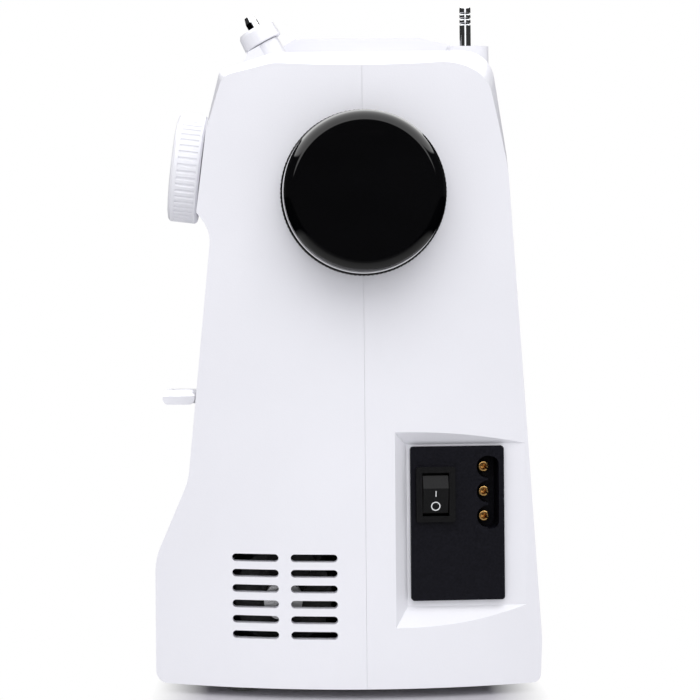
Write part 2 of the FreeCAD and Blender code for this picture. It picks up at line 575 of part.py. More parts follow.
def rod(axis, radius, low, high, across, up, name="rod"):
    """A cylinder along an axis; across and up are its two other coordinates, in x, y, z order."""
    cylinder = doc.addObject("Part::Cylinder", name)
    bind(cylinder, "Radius", radius)
    bind(cylinder, "Height", "(%s) - (%s)" % (high, low))
    cylinder.Placement = Placement(Vector(), ALONG[axis])
    place = {"x": (low, across, up), "y": (across, low, up), "z": (across, up, low)}[axis]
    return put(cylinder, *place)


def fuse(*items):
    """One solid from several."""
    joined = doc.addObject("Part::MultiFuse", "fuse")
    joined.Shapes = list(items)
    joined.Refine = True
    return joined


def cut(base, *tools):
    """The first solid without the others."""
    rest = doc.addObject("Part::Cut", "cut")
    rest.Base = base
    rest.Tool = tools[0] if len(tools) == 1 else fuse(*tools)
    return rest


def common(first, second):
    """What two solids share."""
    shared = doc.addObject("Part::Common", "common")
    shared.Base = first
    shared.Tool = second
    return shared


def group(*items):
    """Several separate solids kept as one node."""
    compound = doc.addObject("Part::Compound", "group")
    compound.Links = list(items)
    return compound


def rounded(base, radius, wanted):
    """Round the edges for which wanted(edge) is true."""
    doc.recompute()
    fillet = doc.addObject("Part::Fillet", "rounded")
    fillet.Base = base
    numbers = [number for number, edge in enumerate(base.Shape.Edges, 1) if wanted(edge)]
    fillet.Edges = [(number, radius, radius) for number in numbers]
    return fillet


def runs_along(axis):
    """A test for straight edges along an axis."""
    direction = {"x": Vector(1, 0, 0), "y": Vector(0, 1, 0), "z": Vector(0, 0, 1)}[axis]

    def test(edge):
        if edge.Curve.TypeId != "Part::GeomLine":
            return False
        return abs(edge.tangentAt(edge.FirstParameter).dot(direction)) > 0.999
    return test


def sketch_outline(body, role, points):
    """A closed outline in a body's plane, with both coordinates of each corner tied to a formula."""
    sketch = body.newObject("Sketcher::SketchObject", "outline")
    plane = [feature for feature in body.Origin.OriginFeatures if feature.Role == role][0]
    sketch.AttachmentSupport = [(plane, "")]
    sketch.MapMode = "FlatFace"
    count = len(points)
    start = [Vector(math.cos(2 * math.pi * i / count), math.sin(2 * math.pi * i / count), 0)
             for i in range(count)]
    for i in range(count):
        sketch.addGeometry(Part.LineSegment(start[i], start[(i + 1) % count]), False)
    for i in range(count):
        sketch.addConstraint(Sketcher.Constraint("Coincident", i, 2, (i + 1) % count, 1))
    for i, corner in enumerate(points):
        for kind, text, value in zip(("DistanceX", "DistanceY"), corner, (start[i].x, start[i].y)):
            number = sketch.addConstraint(Sketcher.Constraint(kind, -1, 1, i, 1, value))
            sketch.setExpression("Constraints[%d]" % number, formula(text))
    return sketch


def plate(role, points, low, high):
    """A flat piece: an outline in a plane, as thick as from low to high along the plane's axis."""
    body = doc.addObject("PartDesign::Body", "plate")
    pad = body.newObject("PartDesign::Pad", "pad")
    pad.Profile = sketch_outline(body, role, points)
    bind(pad, "Length", "(%s) - (%s)" % (high, low))
    place = {"YZ_Plane": (low, "0", "0"), "XZ_Plane": ("0", high, "0"), "XY_Plane": ("0", "0", low)}[role]
    return put(body, *place)


def spun(profile):
    """A turned piece along X: (distance along the axis, radius) corners, spun round the axis."""
    body = doc.addObject("PartDesign::Body", "turned")
    spin = body.newObject("PartDesign::Revolution", "spin")
    sketch = sketch_outline(body, "XY_Plane", profile)
    spin.Profile = sketch
    spin.ReferenceAxis = (sketch, ["H_Axis"])
    spin.Angle = 360
    return body


def turned(axis, place, profile):
    """A turned piece along X, Y or Z from a place."""
    body = spun(profile)
    body.Placement = Placement(Vector(), TURN[axis])
    return put(body, *place)


TURN = {"x": Rotation(), "y": Rotation(Vector(0, 0, 1), 90), "z": Rotation(Vector(0, 1, 0), -90)}


def ring(axis, outer, inner, low, high, across, up):
    """A sleeve along an axis."""
    return cut(rod(axis, outer, low, high, across, up), rod(axis, inner, low, high, across, up))


def solid(label, shape, place=Placement()):
    """A document object for a shape that Part's own functions make."""
    item = doc.addObject("Part::Feature", label)
    item.Shape = shape
    item.Placement = place
    return item


def rounded_wire(corners, lift):
    """A closed wire through (across, up, radius) corners, each an arc that touches its two sides.

    lift turns a pair of coordinates into a point in space.
    """
    count = len(corners)
    ends = []
    for i, (a, b, radius) in enumerate(corners):
        here = Vector(a, b, 0)
        before = Vector(*corners[i - 1][:2], 0) - here
        after = Vector(*corners[(i + 1) % count][:2], 0) - here
        half = before.getAngle(after) / 2
        before.normalize()
        after.normalize()
        reach = radius / math.tan(half)
        middle = before + after
        middle.normalize()
        nearest = radius / math.sin(half) - radius
        ends.append((here + before * reach, here + middle * nearest, here + after * reach))
    edges = []
    for i, (first, middle, last) in enumerate(ends):
        following = ends[(i + 1) % count][0]
        first, middle, last, following = [lift(point.x, point.y)
                                          for point in (first, middle, last, following)]
        edges.append(Part.Arc(first, middle, last).toShape())
        edges.append(Part.LineSegment(last, following).toShape())
    return Part.Wire(edges)


# Casing shells: two moulded halves with one seam round the machine


def side_corners(end_face):
    """Corners of the casing seen from the handwheel end; at the end face the top edge slopes in."""
    half, drop = size("base_half"), size("bevel_drop")
    inset = drop if end_face else 0
    flare, crown = size("flare_round"), size("crown_round")
    return [
        (-half, size("rim_z"), size("front_rim_round")),
        (-half, size("flare_z"), flare),
        (size("flare_top_y"), size("flare_top_z"), flare),
        (size("chin_y"), size("chin_z"), size("chin_round")),
        (size("fascia_low_y"), size("fascia_low_z"), size("fascia_low_round")),
        (size("fascia_top_y") + 0.1 * inset, size("fascia_top_z") - inset, size("fascia_top_round")),
        (size("brow_y") + 0.5 * inset, size("brow_z") - 0.85 * inset, size("brow_round") + 1.5 * inset),
        (size("crown_y"), size("top_z") - inset, crown),
        (size("rear_top_y") - inset, size("top_z") - inset, crown + 1.65 * inset),
        (size("shoulder_y") - 0.1 * inset, size("shoulder_z") - inset, size("shoulder_round")),
        (half, size("rear_low_z"), size("rear_low_round")),
        (half - size("rim_draft"), size("rim_z"), size("rear_rim_round")),
    ]


def front_corners(inset):
    """Corners of the casing seen from the operator: column, arm and head round the sewing space.

    The inside is open at the left edge and at the bottom.
    """
    inside = inset > 0
    beyond = 8 * size("overshoot")
    left = size("shell_left") - (beyond if inside else 0)
    low = size("rim_z") - (beyond if inside else 0)
    turn, edge = size("arm_round"), size("edge_round")
    return [
        (size("end_x") + beyond, low, edge),
        (size("end_x") + beyond, size("top_z") + beyond, edge),
        (left, size("top_z") + beyond, edge),
        (left, size("head_z") + inset, edge),
        (size("head_x") - inset, size("head_z") + inset, size("head_round")),
        (size("head_x") - inset, size("arm_z") + inset, turn),
        (size("column_x") + inset, size("arm_z") + inset, turn),
        (size("column_x") + inset, low, edge),
    ]


def across_x(x):
    """A plane square to X."""
    return lambda y, z: Vector(x, y, z)


def prism(wire, direction):
    """A solid from a closed flat wire."""
    return Part.Face(wire).extrude(direction)


def plan_solid(inset):
    """Everything left of the crowned end face, as an upright solid."""
    radius = size("end_radius") - inset
    reach = 2 * size("base_half")
    centre = Vector(size("end_x") - size("end_radius"), size("seam_y"), -reach)
    left = size("shell_left") - reach
    disc = Part.makeCylinder(radius, 4 * reach, centre)
    return disc.common(Part.makeBox(4 * reach, 4 * reach, 4 * reach, Vector(left, -2 * reach, -reach))).fuse(
        Part.makeBox(centre.x - left, 4 * reach, 4 * reach, Vector(left, -2 * reach, -reach)))


def sloped_body():
    """The casing's cross-section from left to right, with the sloping edge at the end face."""
    bevel_start = size("end_x") - size("bevel_run")
    body_wire = rounded_wire(side_corners(False), across_x(bevel_start))
    end_wire = rounded_wire(side_corners(True), across_x(size("end_x")))
    long_part = prism(body_wire, Vector(size("shell_left") - bevel_start, 0, 0))
    return long_part.fuse(Part.makeLoft([body_wire, end_wire], True, True))


def front_solid(inset):
    """The casing's shape seen from the operator, carried right through."""
    deep = 4 * size("base_half")
    wire = rounded_wire(front_corners(inset), lambda x, z: Vector(x, -deep / 2, z))
    return prism(wire, Vector(0, deep, 0))


def casing_solid():
    """The casing as one full solid."""
    return sloped_body().common(front_solid(0)).common(plan_solid(0))


def cavity_solid():
    """The room inside the casing, open at the left edge and at the bottom."""
    outline = rounded_wire(side_corners(False), across_x(size("end_x")))
    inner_wire = Part.Wire(outline.makeOffset2D(-size("wall")).Edges)
    reach = size("end_x") - size("shell_left")
    inside = prism(inner_wire, Vector(-2 * reach, 0, 0))
    floor = min(inside.Faces, key=lambda face: face.CenterOfMass.z)
    inside = inside.fuse(floor.extrude(Vector(0, 0, -2 * size("wall"))))
    slope = sloped_body()
    slope = slope.fuse(slope.translated(Vector(-reach, 0, 0)))
    slope = slope.fuse(slope.translated(Vector(0, 0, -3 * size("wall"))))
    slope.translate(Vector(-size("end_inset"), 0, -size("wall")))
    return inside.common(front_solid(size("wall"))).common(plan_solid(size("end_inset"))).common(slope)


casing = casing_solid()
cavity = cavity_solid()
hollow = casing.cut(cavity)
far = 4 * size("end_x")
half_space = Part.makeBox(2 * far, far, far,
                          Vector(-far, size("seam_y") - far - size("seam_gap") / 2, -far / 2))
front_half = solid("front_half", hollow.common(half_space))
rear_half = solid("rear_half", hollow.common(half_space.translated(Vector(0, far + size("seam_gap"), 0))))

casing_form = solid("casing_form", casing)


def unit(*parts):
    """A direction of length one."""
    direction = Vector(*parts)
    direction.normalize()
    return direction


def leaning_rod(point, direction, radius, low, high):
    """A cylinder through a point along any direction, between two distances from the point."""
    cylinder = doc.addObject("Part::Cylinder", "rod")
    bind(cylinder, "Radius", radius)
    cylinder.Height = high - low
    cylinder.Placement = Placement(point + direction * low, Rotation(Vector(0, 0, 1), direction))
    return cylinder


def spun_at(point, direction, profile):
    """A turned piece whose axis starts at a point and runs along any direction."""
    body = spun(profile)
    body.Placement = Placement(point, Rotation(Vector(1, 0, 0), direction))
    return body


# Stitch dial frame: its foot lies on the fascia and its axis is square to it
fascia_run = size("fascia_top_y") - size("fascia_low_y")
fascia_rise = size("fascia_top_z") - size("fascia_low_z")
dial_axis = unit(0, -fascia_rise, fascia_run)
dial_y = size("fascia_low_y") + (size("dial_z") - size("fascia_low_z")) * fascia_run / fascia_rise
dial_foot = Vector(size("end_x") + size("dial_x"), dial_y, size("dial_z"))

# Bobbin winder frame: it leans to the front from the sloping top
lean = math.radians(size("winder_lean"))
winder_axis = Vector(0, -math.sin(lean), math.cos(lean))
winder_foot = Vector(size("end_x") + size("winder_x"), size("winder_y"), size("winder_z"))

# Power panel frame: local X points out of the panel, local Y to the rear
panel_frame = Placement(Vector(size("end_x") + size("panel_x"), size("panel_y"), size("panel_z")),
                        Rotation(Vector(0, 0, 1), size("panel_turn")))


def on_panel(item):
    """Move a piece made in the power panel's own frame to its place."""
    item.Placement = panel_frame
    return item


# Openings that cross the seam: the shaft hole, the needle window and the mouth for the free arm
shaft_hole = rod("x", "shaft_radius + shaft_room", "end_x - 4 * end_inset", "end_x + end_inset", "seam_y",
                 "shaft_z")
needle_window = block(("needle_x - window_left", "needle_x + window_right"),
                      ("seam_y - window_front", "frame_y + window_rear"),
                      ("head_z - overshoot", "head_z + 2 * overshoot"))
arm_mouth = block(("column_x - overshoot", "column_x + 2 * overshoot"),
                  ("free_front - gap", "free_rear + gap"),
                  ("rim_z - overshoot", "bed_z + gap"))
seam_openings = (shaft_hole, needle_window, arm_mouth)


def vent(column, row):
    """One round-ended vent slot through the end wall."""
    low = "vent_y + vent_height / 2 + %d * vent_step" % column
    high = "vent_y + vent_length - vent_height / 2 + %d * vent_step" % column
    middle = "vent_z + %d * vent_pitch" % row
    through = ("end_x - vent_reach", "end_x + overshoot")
    bar = block(through, (low, high), (middle + " - vent_height / 2", middle + " + vent_height / 2"))
    ends = [rod("x", "vent_height / 2", through[0], through[1], y, middle) for y in (low, high)]
    return fuse(bar, *ends)


vents = [vent(column, row) for column in (0, 1) for row in range(int(size("vent_rows")))]

# Bosses inside the front shell carry the dial spindle, the reverse lever's pin and the tension axle
dial_boss = leaning_rod(dial_foot, dial_axis, "spindle_radius + boss_wall", -size("dial_boss_depth"),
                        -size("boss_sink"))
lever_left = "(end_x + lever_x)"
lever_right = "(end_x + lever_x + lever_width)"
lever_boss_y = ("lever_pin_y - lever_boss_reach", "lever_pin_y + lever_boss_rear")
lever_boss_z = ("lever_z - boss_half", "lever_z + boss_half")
lever_bosses = [
    block((lever_left + " - boss_gap - boss_wall", lever_left + " - boss_gap"), lever_boss_y, lever_boss_z),
    block((lever_right + " + boss_gap", lever_right + " + boss_gap + boss_wall"), lever_boss_y, lever_boss_z),
]
tension_boss_y = ("tension_y - tension_boss_half", "tension_y + tension_boss_half")
tension_boss_z = ("tension_z - tension_boss_half", "brow_z + tension_boss_top")
tension_right = "(tension_x + tension_width)"
tension_bosses = [
    block(("tension_x - boss_gap - boss_wall", "tension_x - boss_gap"), tension_boss_y, tension_boss_z),
    block((tension_right + " + boss_gap", tension_right + " + boss_gap + boss_wall"), tension_boss_y,
          tension_boss_z),
]
front_openings = [
    leaning_rod(dial_foot, dial_axis, "spindle_radius + fit", -2.5 * size("dial_boss_depth"),
                2 * size("overshoot")),
    block((lever_left + " - slot_gap", lever_right + " + slot_gap"),
          ("lever_pin_y - lever_slot_front", "lever_pin_y - lever_slot_rear"),
          ("lever_z - lever_slot_low", "lever_z + lever_slot_high")),
    rod("x", "pin_radius + fit", lever_left + " - 2 * boss_wall", lever_right + " + 2 * boss_wall",
        "lever_pin_y", "lever_z"),
    block(("tension_x - tension_slot_gap", tension_right + " + tension_slot_gap"),
          ("fascia_low_y - overshoot", "tension_y + tension_radius"),
          ("tension_z - tension_slot_drop", "top_z + overshoot")),
    rod("x", "pin_radius + fit", "tension_x - 2 * boss_wall", tension_right + " + 2 * boss_wall", "tension_y",
        "tension_z"),
    block(("tension_x + thread_slot_inset", tension_right + " - thread_slot_inset"),
          ("fascia_low_y - overshoot", "brow_y + thread_slot_depth"),
          ("fascia_low_z + thread_slot_low", "tension_z")),
    block(("takeup_x - takeup_slot_gap", "takeup_x + takeup_width + takeup_slot_gap"),
          ("fascia_low_y - overshoot", "brow_y + 2 * overshoot"),
          ("fascia_low_z + takeup_slot_low", "brow_z + takeup_slot_high")),
    rod("z", "lamp_radius + fit", "head_z - overshoot", "head_z + 2 * overshoot", "lamp_x", "lamp_y"),
]
winder_slot = doc.addObject("Part::Box", "winder_slot")
bind(winder_slot, "Length", "winder_shift")
bind(winder_slot, "Width", "2 * winder_neck_radius + 2 * gap")
bind(winder_slot, "Height", "winder_slot_low + winder_slot_high")
winder_slot_corner = Vector(-size("winder_shift"), -size("winder_neck_radius") - size("gap"),
                            -size("winder_slot_low"))
winder_turn = Rotation(Vector(1, 0, 0), size("winder_lean"))
winder_slot.Placement = Placement(winder_foot + winder_turn.multVec(winder_slot_corner), winder_turn)
winder_shifted = winder_foot - Vector(size("winder_shift"), 0, 0)
winder_cut = (-size("winder_slot_low"), size("winder_slot_high"))
front_openings += [
    winder_slot,
    leaning_rod(winder_foot, winder_axis, "winder_neck_radius + gap", *winder_cut),
    leaning_rod(winder_shifted, winder_axis, "winder_neck_radius + gap", *winder_cut),
]

# Face cover hinge: two pins on the top edge, in notches of the shells and the cover
hinge_x = "shell_left - gap / 2"
hinge_spans = [(start, start + " + hinge_length")
               for start in ("seam_y - hinge_offset", "seam_y + hinge_offset")]
hinge_pins = [rod("y", "hinge_radius", low, high, hinge_x, "top_z") for low, high in hinge_spans]
hinge_notches = [rod("y", "hinge_radius + gap", low + " - gap", high + " + gap", hinge_x, "top_z")
                 for low, high in hinge_spans]

stop_foot = winder_foot - Vector(size("winder_shift") + size("winder_disc_radius") + size("stop_gap"), 0, 0)
winder_stop = leaning_rod(stop_foot, winder_axis, "winder_spindle_radius", -size("wall"), size("stop_height"))


def guard_form():
    """A fixed ridge before the winder's neck, as a slice across X in the winder's own frame."""
    foot = -size("wall")
    corners = ((size("guard_gap"), foot), (size("guard_gap"), size("guard_top")),
               (size("guard_flat"), size("guard_top")),
               (size("guard_edge"), size("guard_edge_height")), (size("guard_edge"), foot))
    low, high = -size("winder_shift") - size("guard_half"), size("guard_half")
    points = [Vector(low, -ahead, along) for ahead, along in corners]
    return Part.Face(Part.makePolygon(points + points[:1])).extrude(Vector(high - low, 0, 0))


guard = guard_form()
guard.Placement = Placement(winder_foot, winder_turn)
winder_guard = solid("winder_guard", guard.cut(cavity))
front_shell = cut(fuse(front_half, dial_boss, winder_stop, winder_guard, *lever_bosses, *tension_bosses),
                  *seam_openings, *vents, *front_openings, hinge_notches[0])
piece(front_shell, "front_shell")

# Power recess in the rear shell: a pan with sloping walls, open to the rear


def recess_form(grow):
    """The recess as a solid, grown on all sides; its walls slope out from the floor."""
    depth = size("recess_depth")
    slope = 0.8 * depth
    low_slope = 1.1 * depth
    left, right = -size("panel_width") / 2 - size("recess_side") - grow, size("base_half")
    low = -size("panel_height") / 2 - size("recess_low") - grow
    high = size("panel_height") / 2 + size("recess_top") + grow
    floor = [Vector(-grow, y, z) for y, z in ((left, low), (right, low), (right, high), (left, high))]
    mouth_corners = ((left - slope, low - low_slope), (right, low - low_slope),
                     (right, high + slope), (left - slope, high + slope))
    mouth = [Vector(depth - grow, y, z) for y, z in mouth_corners]
    wires = [Part.makePolygon(corners + corners[:1]) for corners in (floor, mouth)]
    return Part.makeLoft(wires, True, True)


recess_tool = solid("recess_tool", recess_form(0), panel_frame)
pan = recess_form(size("wall"))
pan.Placement = panel_frame
recess_pan = solid("recess_pan", pan.common(casing).cut(half_space))


def switch_span(inset):
    """Low and high formulas, across and up the panel, of the switch drawn in on all sides."""
    return (("switch_y - switch_width / 2 + " + inset, "switch_y + switch_width / 2 - (%s)" % inset),
            ("switch_z - switch_height / 2 + " + inset, "switch_z + switch_height / 2 - (%s)" % inset))


def inlet_span(grow):
    """Low and high formulas, across and up the panel, of the inlet grown on all sides."""
    return (("inlet_y - inlet_width / 2 - (%s)" % grow, "inlet_y + inlet_width / 2 + " + grow),
            ("inlet_z - inlet_height / 2 - (%s)" % grow, "inlet_z + inlet_height / 2 + " + grow))


panel_window = on_panel(fuse(
    block(("-panel_reach", "wall"), *switch_span("switch_ledge - 2 * snap_gap")),
    block(("-panel_reach", "wall"), *inlet_span("socket_wall + gap"))))
lifter_slot = block(("lifter_x - slot_gap", "lifter_x + lifter_width + slot_gap"),
                    ("frame_rear_y", "base_half + overshoot"),
                    ("head_z + lifter_slot_low", "arm_z + lifter_slot_high"))
spool_x = "(end_x + spool_x)"
spool_hole = rod("z", "spool_radius + fit", "spool_low_z", "seat_z + overshoot", spool_x, "spool_y")
seat_block = rounded(
    block((spool_x + " - seat_half", spool_x + " + seat_half"), ("seat_front_y", "seat_rear_y"),
          ("top_z - seat_root", "seat_z")),
    size("seat_round"), runs_along("z"))
spool_seat = cut(seat_block, solid("seat_room", cavity))
guide_y = ("guide_y", "guide_y + guide_depth")
thread_guide = fuse(
    block(("guide_x", "guide_x + guide_length"), guide_y, ("top_z - guide_sheet", "top_z + guide_sheet")),
    block(("guide_x", "guide_x + guide_sheet"), guide_y, ("top_z", "top_z + guide_height")),
    block(("guide_x", "guide_x + guide_hook"), guide_y,
          ("top_z + guide_height - guide_sheet", "top_z + guide_height")))
rear_shell = cut(fuse(rear_half, recess_pan, spool_seat, thread_guide), recess_tool, panel_window,
                 *seam_openings, lifter_slot,
                 spool_hole, hinge_notches[1])
piece(rear_shell, "rear_shell")

# Base tray closes the casing from below and reaches out under the free arm
column_floor = common(
    block(("column_x + wall + gap", "end_x"),
          ("-base_half + front_rim_round + tray_gap", "base_half - rim_draft - rear_rim_round - tray_gap"),
          ("rim_z", "rim_z + floor_thickness")),
    solid("floor_form", plan_solid(size("end_inset") + size("gap"))))
tail = block(("free_left + tail_inset", "column_x + tail_root"),
             ("free_front + tail_inset", "free_rear - tail_inset"), ("rim_z", "tray_z"))
piece(fuse(column_floor, tail), "base_tray")

foot_places = (("end_x - foot_end_x", "foot_end_y"), ("end_x - foot_rear_x", "foot_rear_y"),
               ("column_x + foot_column_x", "foot_column_front"),
               ("column_x + foot_column_x", "foot_column_rear"),
               ("free_left + foot_tail_x", "seam_y - foot_tail_y"),
               ("free_left + foot_tail_x", "seam_y + foot_tail_y"))
piece(group(*[rod("z", "foot_radius", "0", "rim_z", x, y) for x, y in foot_places]), "rubber_feet")

# Free arm cover: a sleeve round the hook, with a ledge for the needle plate and the slide plate
arm_block = rounded(
    block(("free_left", "column_x + arm_root"), ("free_front", "free_rear"), ("free_z", "bed_z")),
    size("arm_edge_round"), runs_along("x"))
arm_room = block(("free_left + free_wall", "column_x + overshoot"),
                 ("free_front + free_wall", "free_rear - free_wall"),
                 ("free_z + free_wall", "bed_z - plate_thickness - free_wall"))
plate_seat = block(("free_left - overshoot", "plate_right + gap"),
                   ("free_front - overshoot", "free_rear + overshoot"),
                   ("bed_z - plate_thickness", "bed_z + overshoot"))
plate_hole = block(("free_left + plate_ledge", "plate_right - plate_ledge"),
                   ("free_front + plate_ledge", "free_rear - plate_ledge"),
                   ("bed_z - 5 * free_wall", "bed_z"))
piece(cut(arm_block, arm_room, plate_seat, plate_hole), "free_arm_cover")

# Feed dog: four toothed rows on one base; the plate has a slot round each
feed_rows = (("-feed_outer_x", "-feed_half", -size("feed_half")),
             ("-feed_inner_x", "feed_inner_front", size("feed_inner_front")),
             ("feed_inner_x", "feed_inner_front", size("feed_inner_front")),
             ("feed_outer_x", "-feed_half", -size("feed_half")))


def feed_row(offset, front, start):
    """One saw-toothed row of the feed dog, its teeth leaning to the rear."""
    top = "bed_z - feed_sink"
    points = [("seam_y + (%s)" % front, "bed_z - feed_low"), ("seam_y + feed_half", "bed_z - feed_low")]
    for i in range(int((size("feed_half") - start) / size("tooth_pitch")), 0, -1):
        points.append(("seam_y + (%s) + %d * tooth_pitch" % (front, i), top))
        points.append(("seam_y + (%s) + %d * tooth_pitch + tooth_root" % (front, i - 1),
                       top + " - tooth_depth"))
    middle = "needle_x + (%s)" % offset
    return plate("YZ_Plane", points, middle + " - feed_row_half", middle + " + feed_row_half")


feed_base_top = "bed_z - feed_low"
feed_base = cut(
    block(("needle_x - feed_base_left", "needle_x + feed_base_right"),
          ("seam_y - feed_base_front", "seam_y + feed_base_rear"),
          (feed_base_top + " - feed_base_thickness", feed_base_top)),
    block(("needle_x - feed_hole_x", "needle_x + feed_hole_x"),
          ("seam_y - feed_hole_y", "seam_y + feed_hole_y"),
          (feed_base_top + " - 2 * feed_base_thickness", feed_base_top + " + feed_base_thickness")))
piece(fuse(feed_base, *[feed_row(*row) for row in feed_rows]), "feed_dog")


def plate_slot(offset, front):
    """The slot of the needle plate round one row of the feed dog."""
    middle = "needle_x + (%s)" % offset
    return block((middle + " - feed_row_half - feed_slot_gap", middle + " + feed_row_half + feed_slot_gap"),
                 ("seam_y + (%s) - feed_travel" % front, "seam_y + feed_half + feed_travel"),
                 ("bed_z - overshoot", "bed_z + overshoot"))


plate_slots = [plate_slot(offset, front) for offset, front, start in feed_rows]
needle_slot = block(("needle_x - needle_slot_x", "needle_x + needle_slot_x"),
                    ("seam_y - needle_slot_y", "seam_y + needle_slot_y"),
                    ("bed_z - overshoot", "bed_z + overshoot"))
plate_y = ("free_front + gap", "free_rear - gap")
plate_z = ("bed_z - plate_thickness", "bed_z")
piece(cut(rounded(block(("plate_left + gap", "plate_right"), plate_y, plate_z), size("plate_round"),
                  runs_along("z")),
          needle_slot, *plate_slots), "needle_plate")
grip_start = "free_left + %g * grip_pitch"
slide_grip = [block((grip_start % (1.5 + i), grip_start % (2 + i)),
                    ("seam_y - grip_half", "seam_y + grip_half"),
                    ("bed_z - grip_depth", "bed_z + overshoot")) for i in range(3)]
slide_form = block(("free_left", "plate_left"), plate_y, ("bed_z - plate_thickness + gap", "bed_z"))
piece(cut(rounded(slide_form, size("plate_round"), runs_along("z")), *slide_grip), "slide_plate")

# Accessory box: slides on round the free arm; its front holds the accessories under a hinged lid
box_right = "column_x - gap"
notch_front = "free_front - gap - box_play"
notch_rear = "free_rear + gap + box_play"
notch_left = "free_left - gap - 2 * box_play"
box_outline = (("box_left", "box_front"), (box_right, "box_front"), (box_right, notch_front),
               (notch_left, notch_front), (notch_left, notch_rear), (box_right, notch_rear),
               (box_right, "box_rear"), ("box_left", "box_rear"))
box_block = plate("XY_Plane", box_outline, "box_low_z", "bed_z")
front_room = block(("box_left + 2 * box_wall", "column_x - gap - 2 * box_wall"),
                   ("box_front + box_wall", "free_front - gap - box_wall"),
                   ("box_low_z + box_wall", "bed_z + overshoot"))
rear_room = block(("box_left + box_wall", "column_x - gap - box_wall"), ("free_rear + gap + box_wall",
                  "box_rear - box_wall"), ("box_low_z - overshoot", "bed_z - box_wall"))
left_room = block(("box_left + box_wall", "free_left - gap - box_wall"),
                  ("free_front + box_left_inset", "free_rear + box_left_inset"),
                  ("box_low_z - overshoot", "bed_z - 3 * box_wall"))
lid_seat = block(("box_left + box_wall", "column_x - gap - box_wall"),
                 ("box_front - overshoot", "free_front"),
                 ("bed_z - lid_thickness - 2 * gap", "bed_z + overshoot"))
slide_way = block(("box_left - overshoot", "free_left"), ("free_front - box_play", "free_rear + box_play"),
                  ("bed_z - plate_thickness - gap", "bed_z + overshoot"))
lid_pin_y = "box_front + 2 * lid_pin_radius"
lid_pin_z = "bed_z - lid_thickness / 2"
lid_pin_hole = rod("x", "lid_pin_radius + fit", "box_left + lid_pin_radius",
                   "column_x - gap - lid_pin_radius", lid_pin_y, lid_pin_z)
piece(cut(box_block, front_room, rear_room, left_room, lid_seat, slide_way, lid_pin_hole), "accessory_box")
lid_line = size("box_front") + size("lid_pin_radius")
lid_form = rounded(block(("box_left + box_wall + gap", "column_x - 2 * gap - box_wall"),
                         ("box_front + 2 * box_play", "free_front - 2 * gap"),
                         ("bed_z - lid_thickness", "bed_z")),
                   0.45 * size("lid_thickness"),
                   lambda edge: runs_along("x")(edge) and edge.CenterOfMass.y < lid_line)
lid_pivot = rod("x", "lid_pin_radius", "box_left + lid_pin_radius + 2 * box_play",
                "column_x - gap - lid_pin_radius - 2 * box_play", lid_pin_y, lid_pin_z)
lid_nail = block(("-nail_half", "nail_half"), ("free_front - nail_depth", "free_front"),
                 (lid_pin_z, "bed_z + overshoot"))
piece(cut(fuse(lid_form, lid_pivot), lid_nail), "accessory_lid")

# Face cover: a shallow cap on the left end of the head


def face_corners(shrink):
    """Corners of the head's outline, drawn in towards its middle."""
    middle = (size("head_z") + size("top_z")) / 2
    return [(y * shrink, middle + (z - middle) * shrink, max(radius * shrink, 0.5))
            for y, z, radius in side_corners(False)]


def face_form(first, last, shrink):
    """The outline carried along X, drawn in towards its last end."""
    wires = [rounded_wire(face_corners(1), across_x(first)),
             rounded_wire(face_corners(shrink), across_x(last))]
    return Part.makeLoft(wires, True, True)


face_right = size("shell_left") - size("gap")
face_left = size("shell_left") - size("gap") - size("face_depth")
face_step = face_right - size("face_rim")
above_head = Part.makeBox(far, far, far, Vector(-far / 2, -far / 2, size("head_z")))
face_solid = prism(rounded_wire(face_corners(1), across_x(face_right)), Vector(face_step - face_right, 0, 0))
face_solid = face_solid.fuse(face_form(face_step, face_left, 0.95)).common(above_head)
face_room = prism(rounded_wire(face_corners(0.9), across_x(face_right)),
                  Vector(face_left + size("wall") - face_right, 0, 0))
above_sill = above_head.translated(Vector(0, 0, size("wall")))
piece(cut(solid("face_form", face_solid), solid("face_room", face_room.common(above_sill)), *hinge_notches),
      "face_cover")

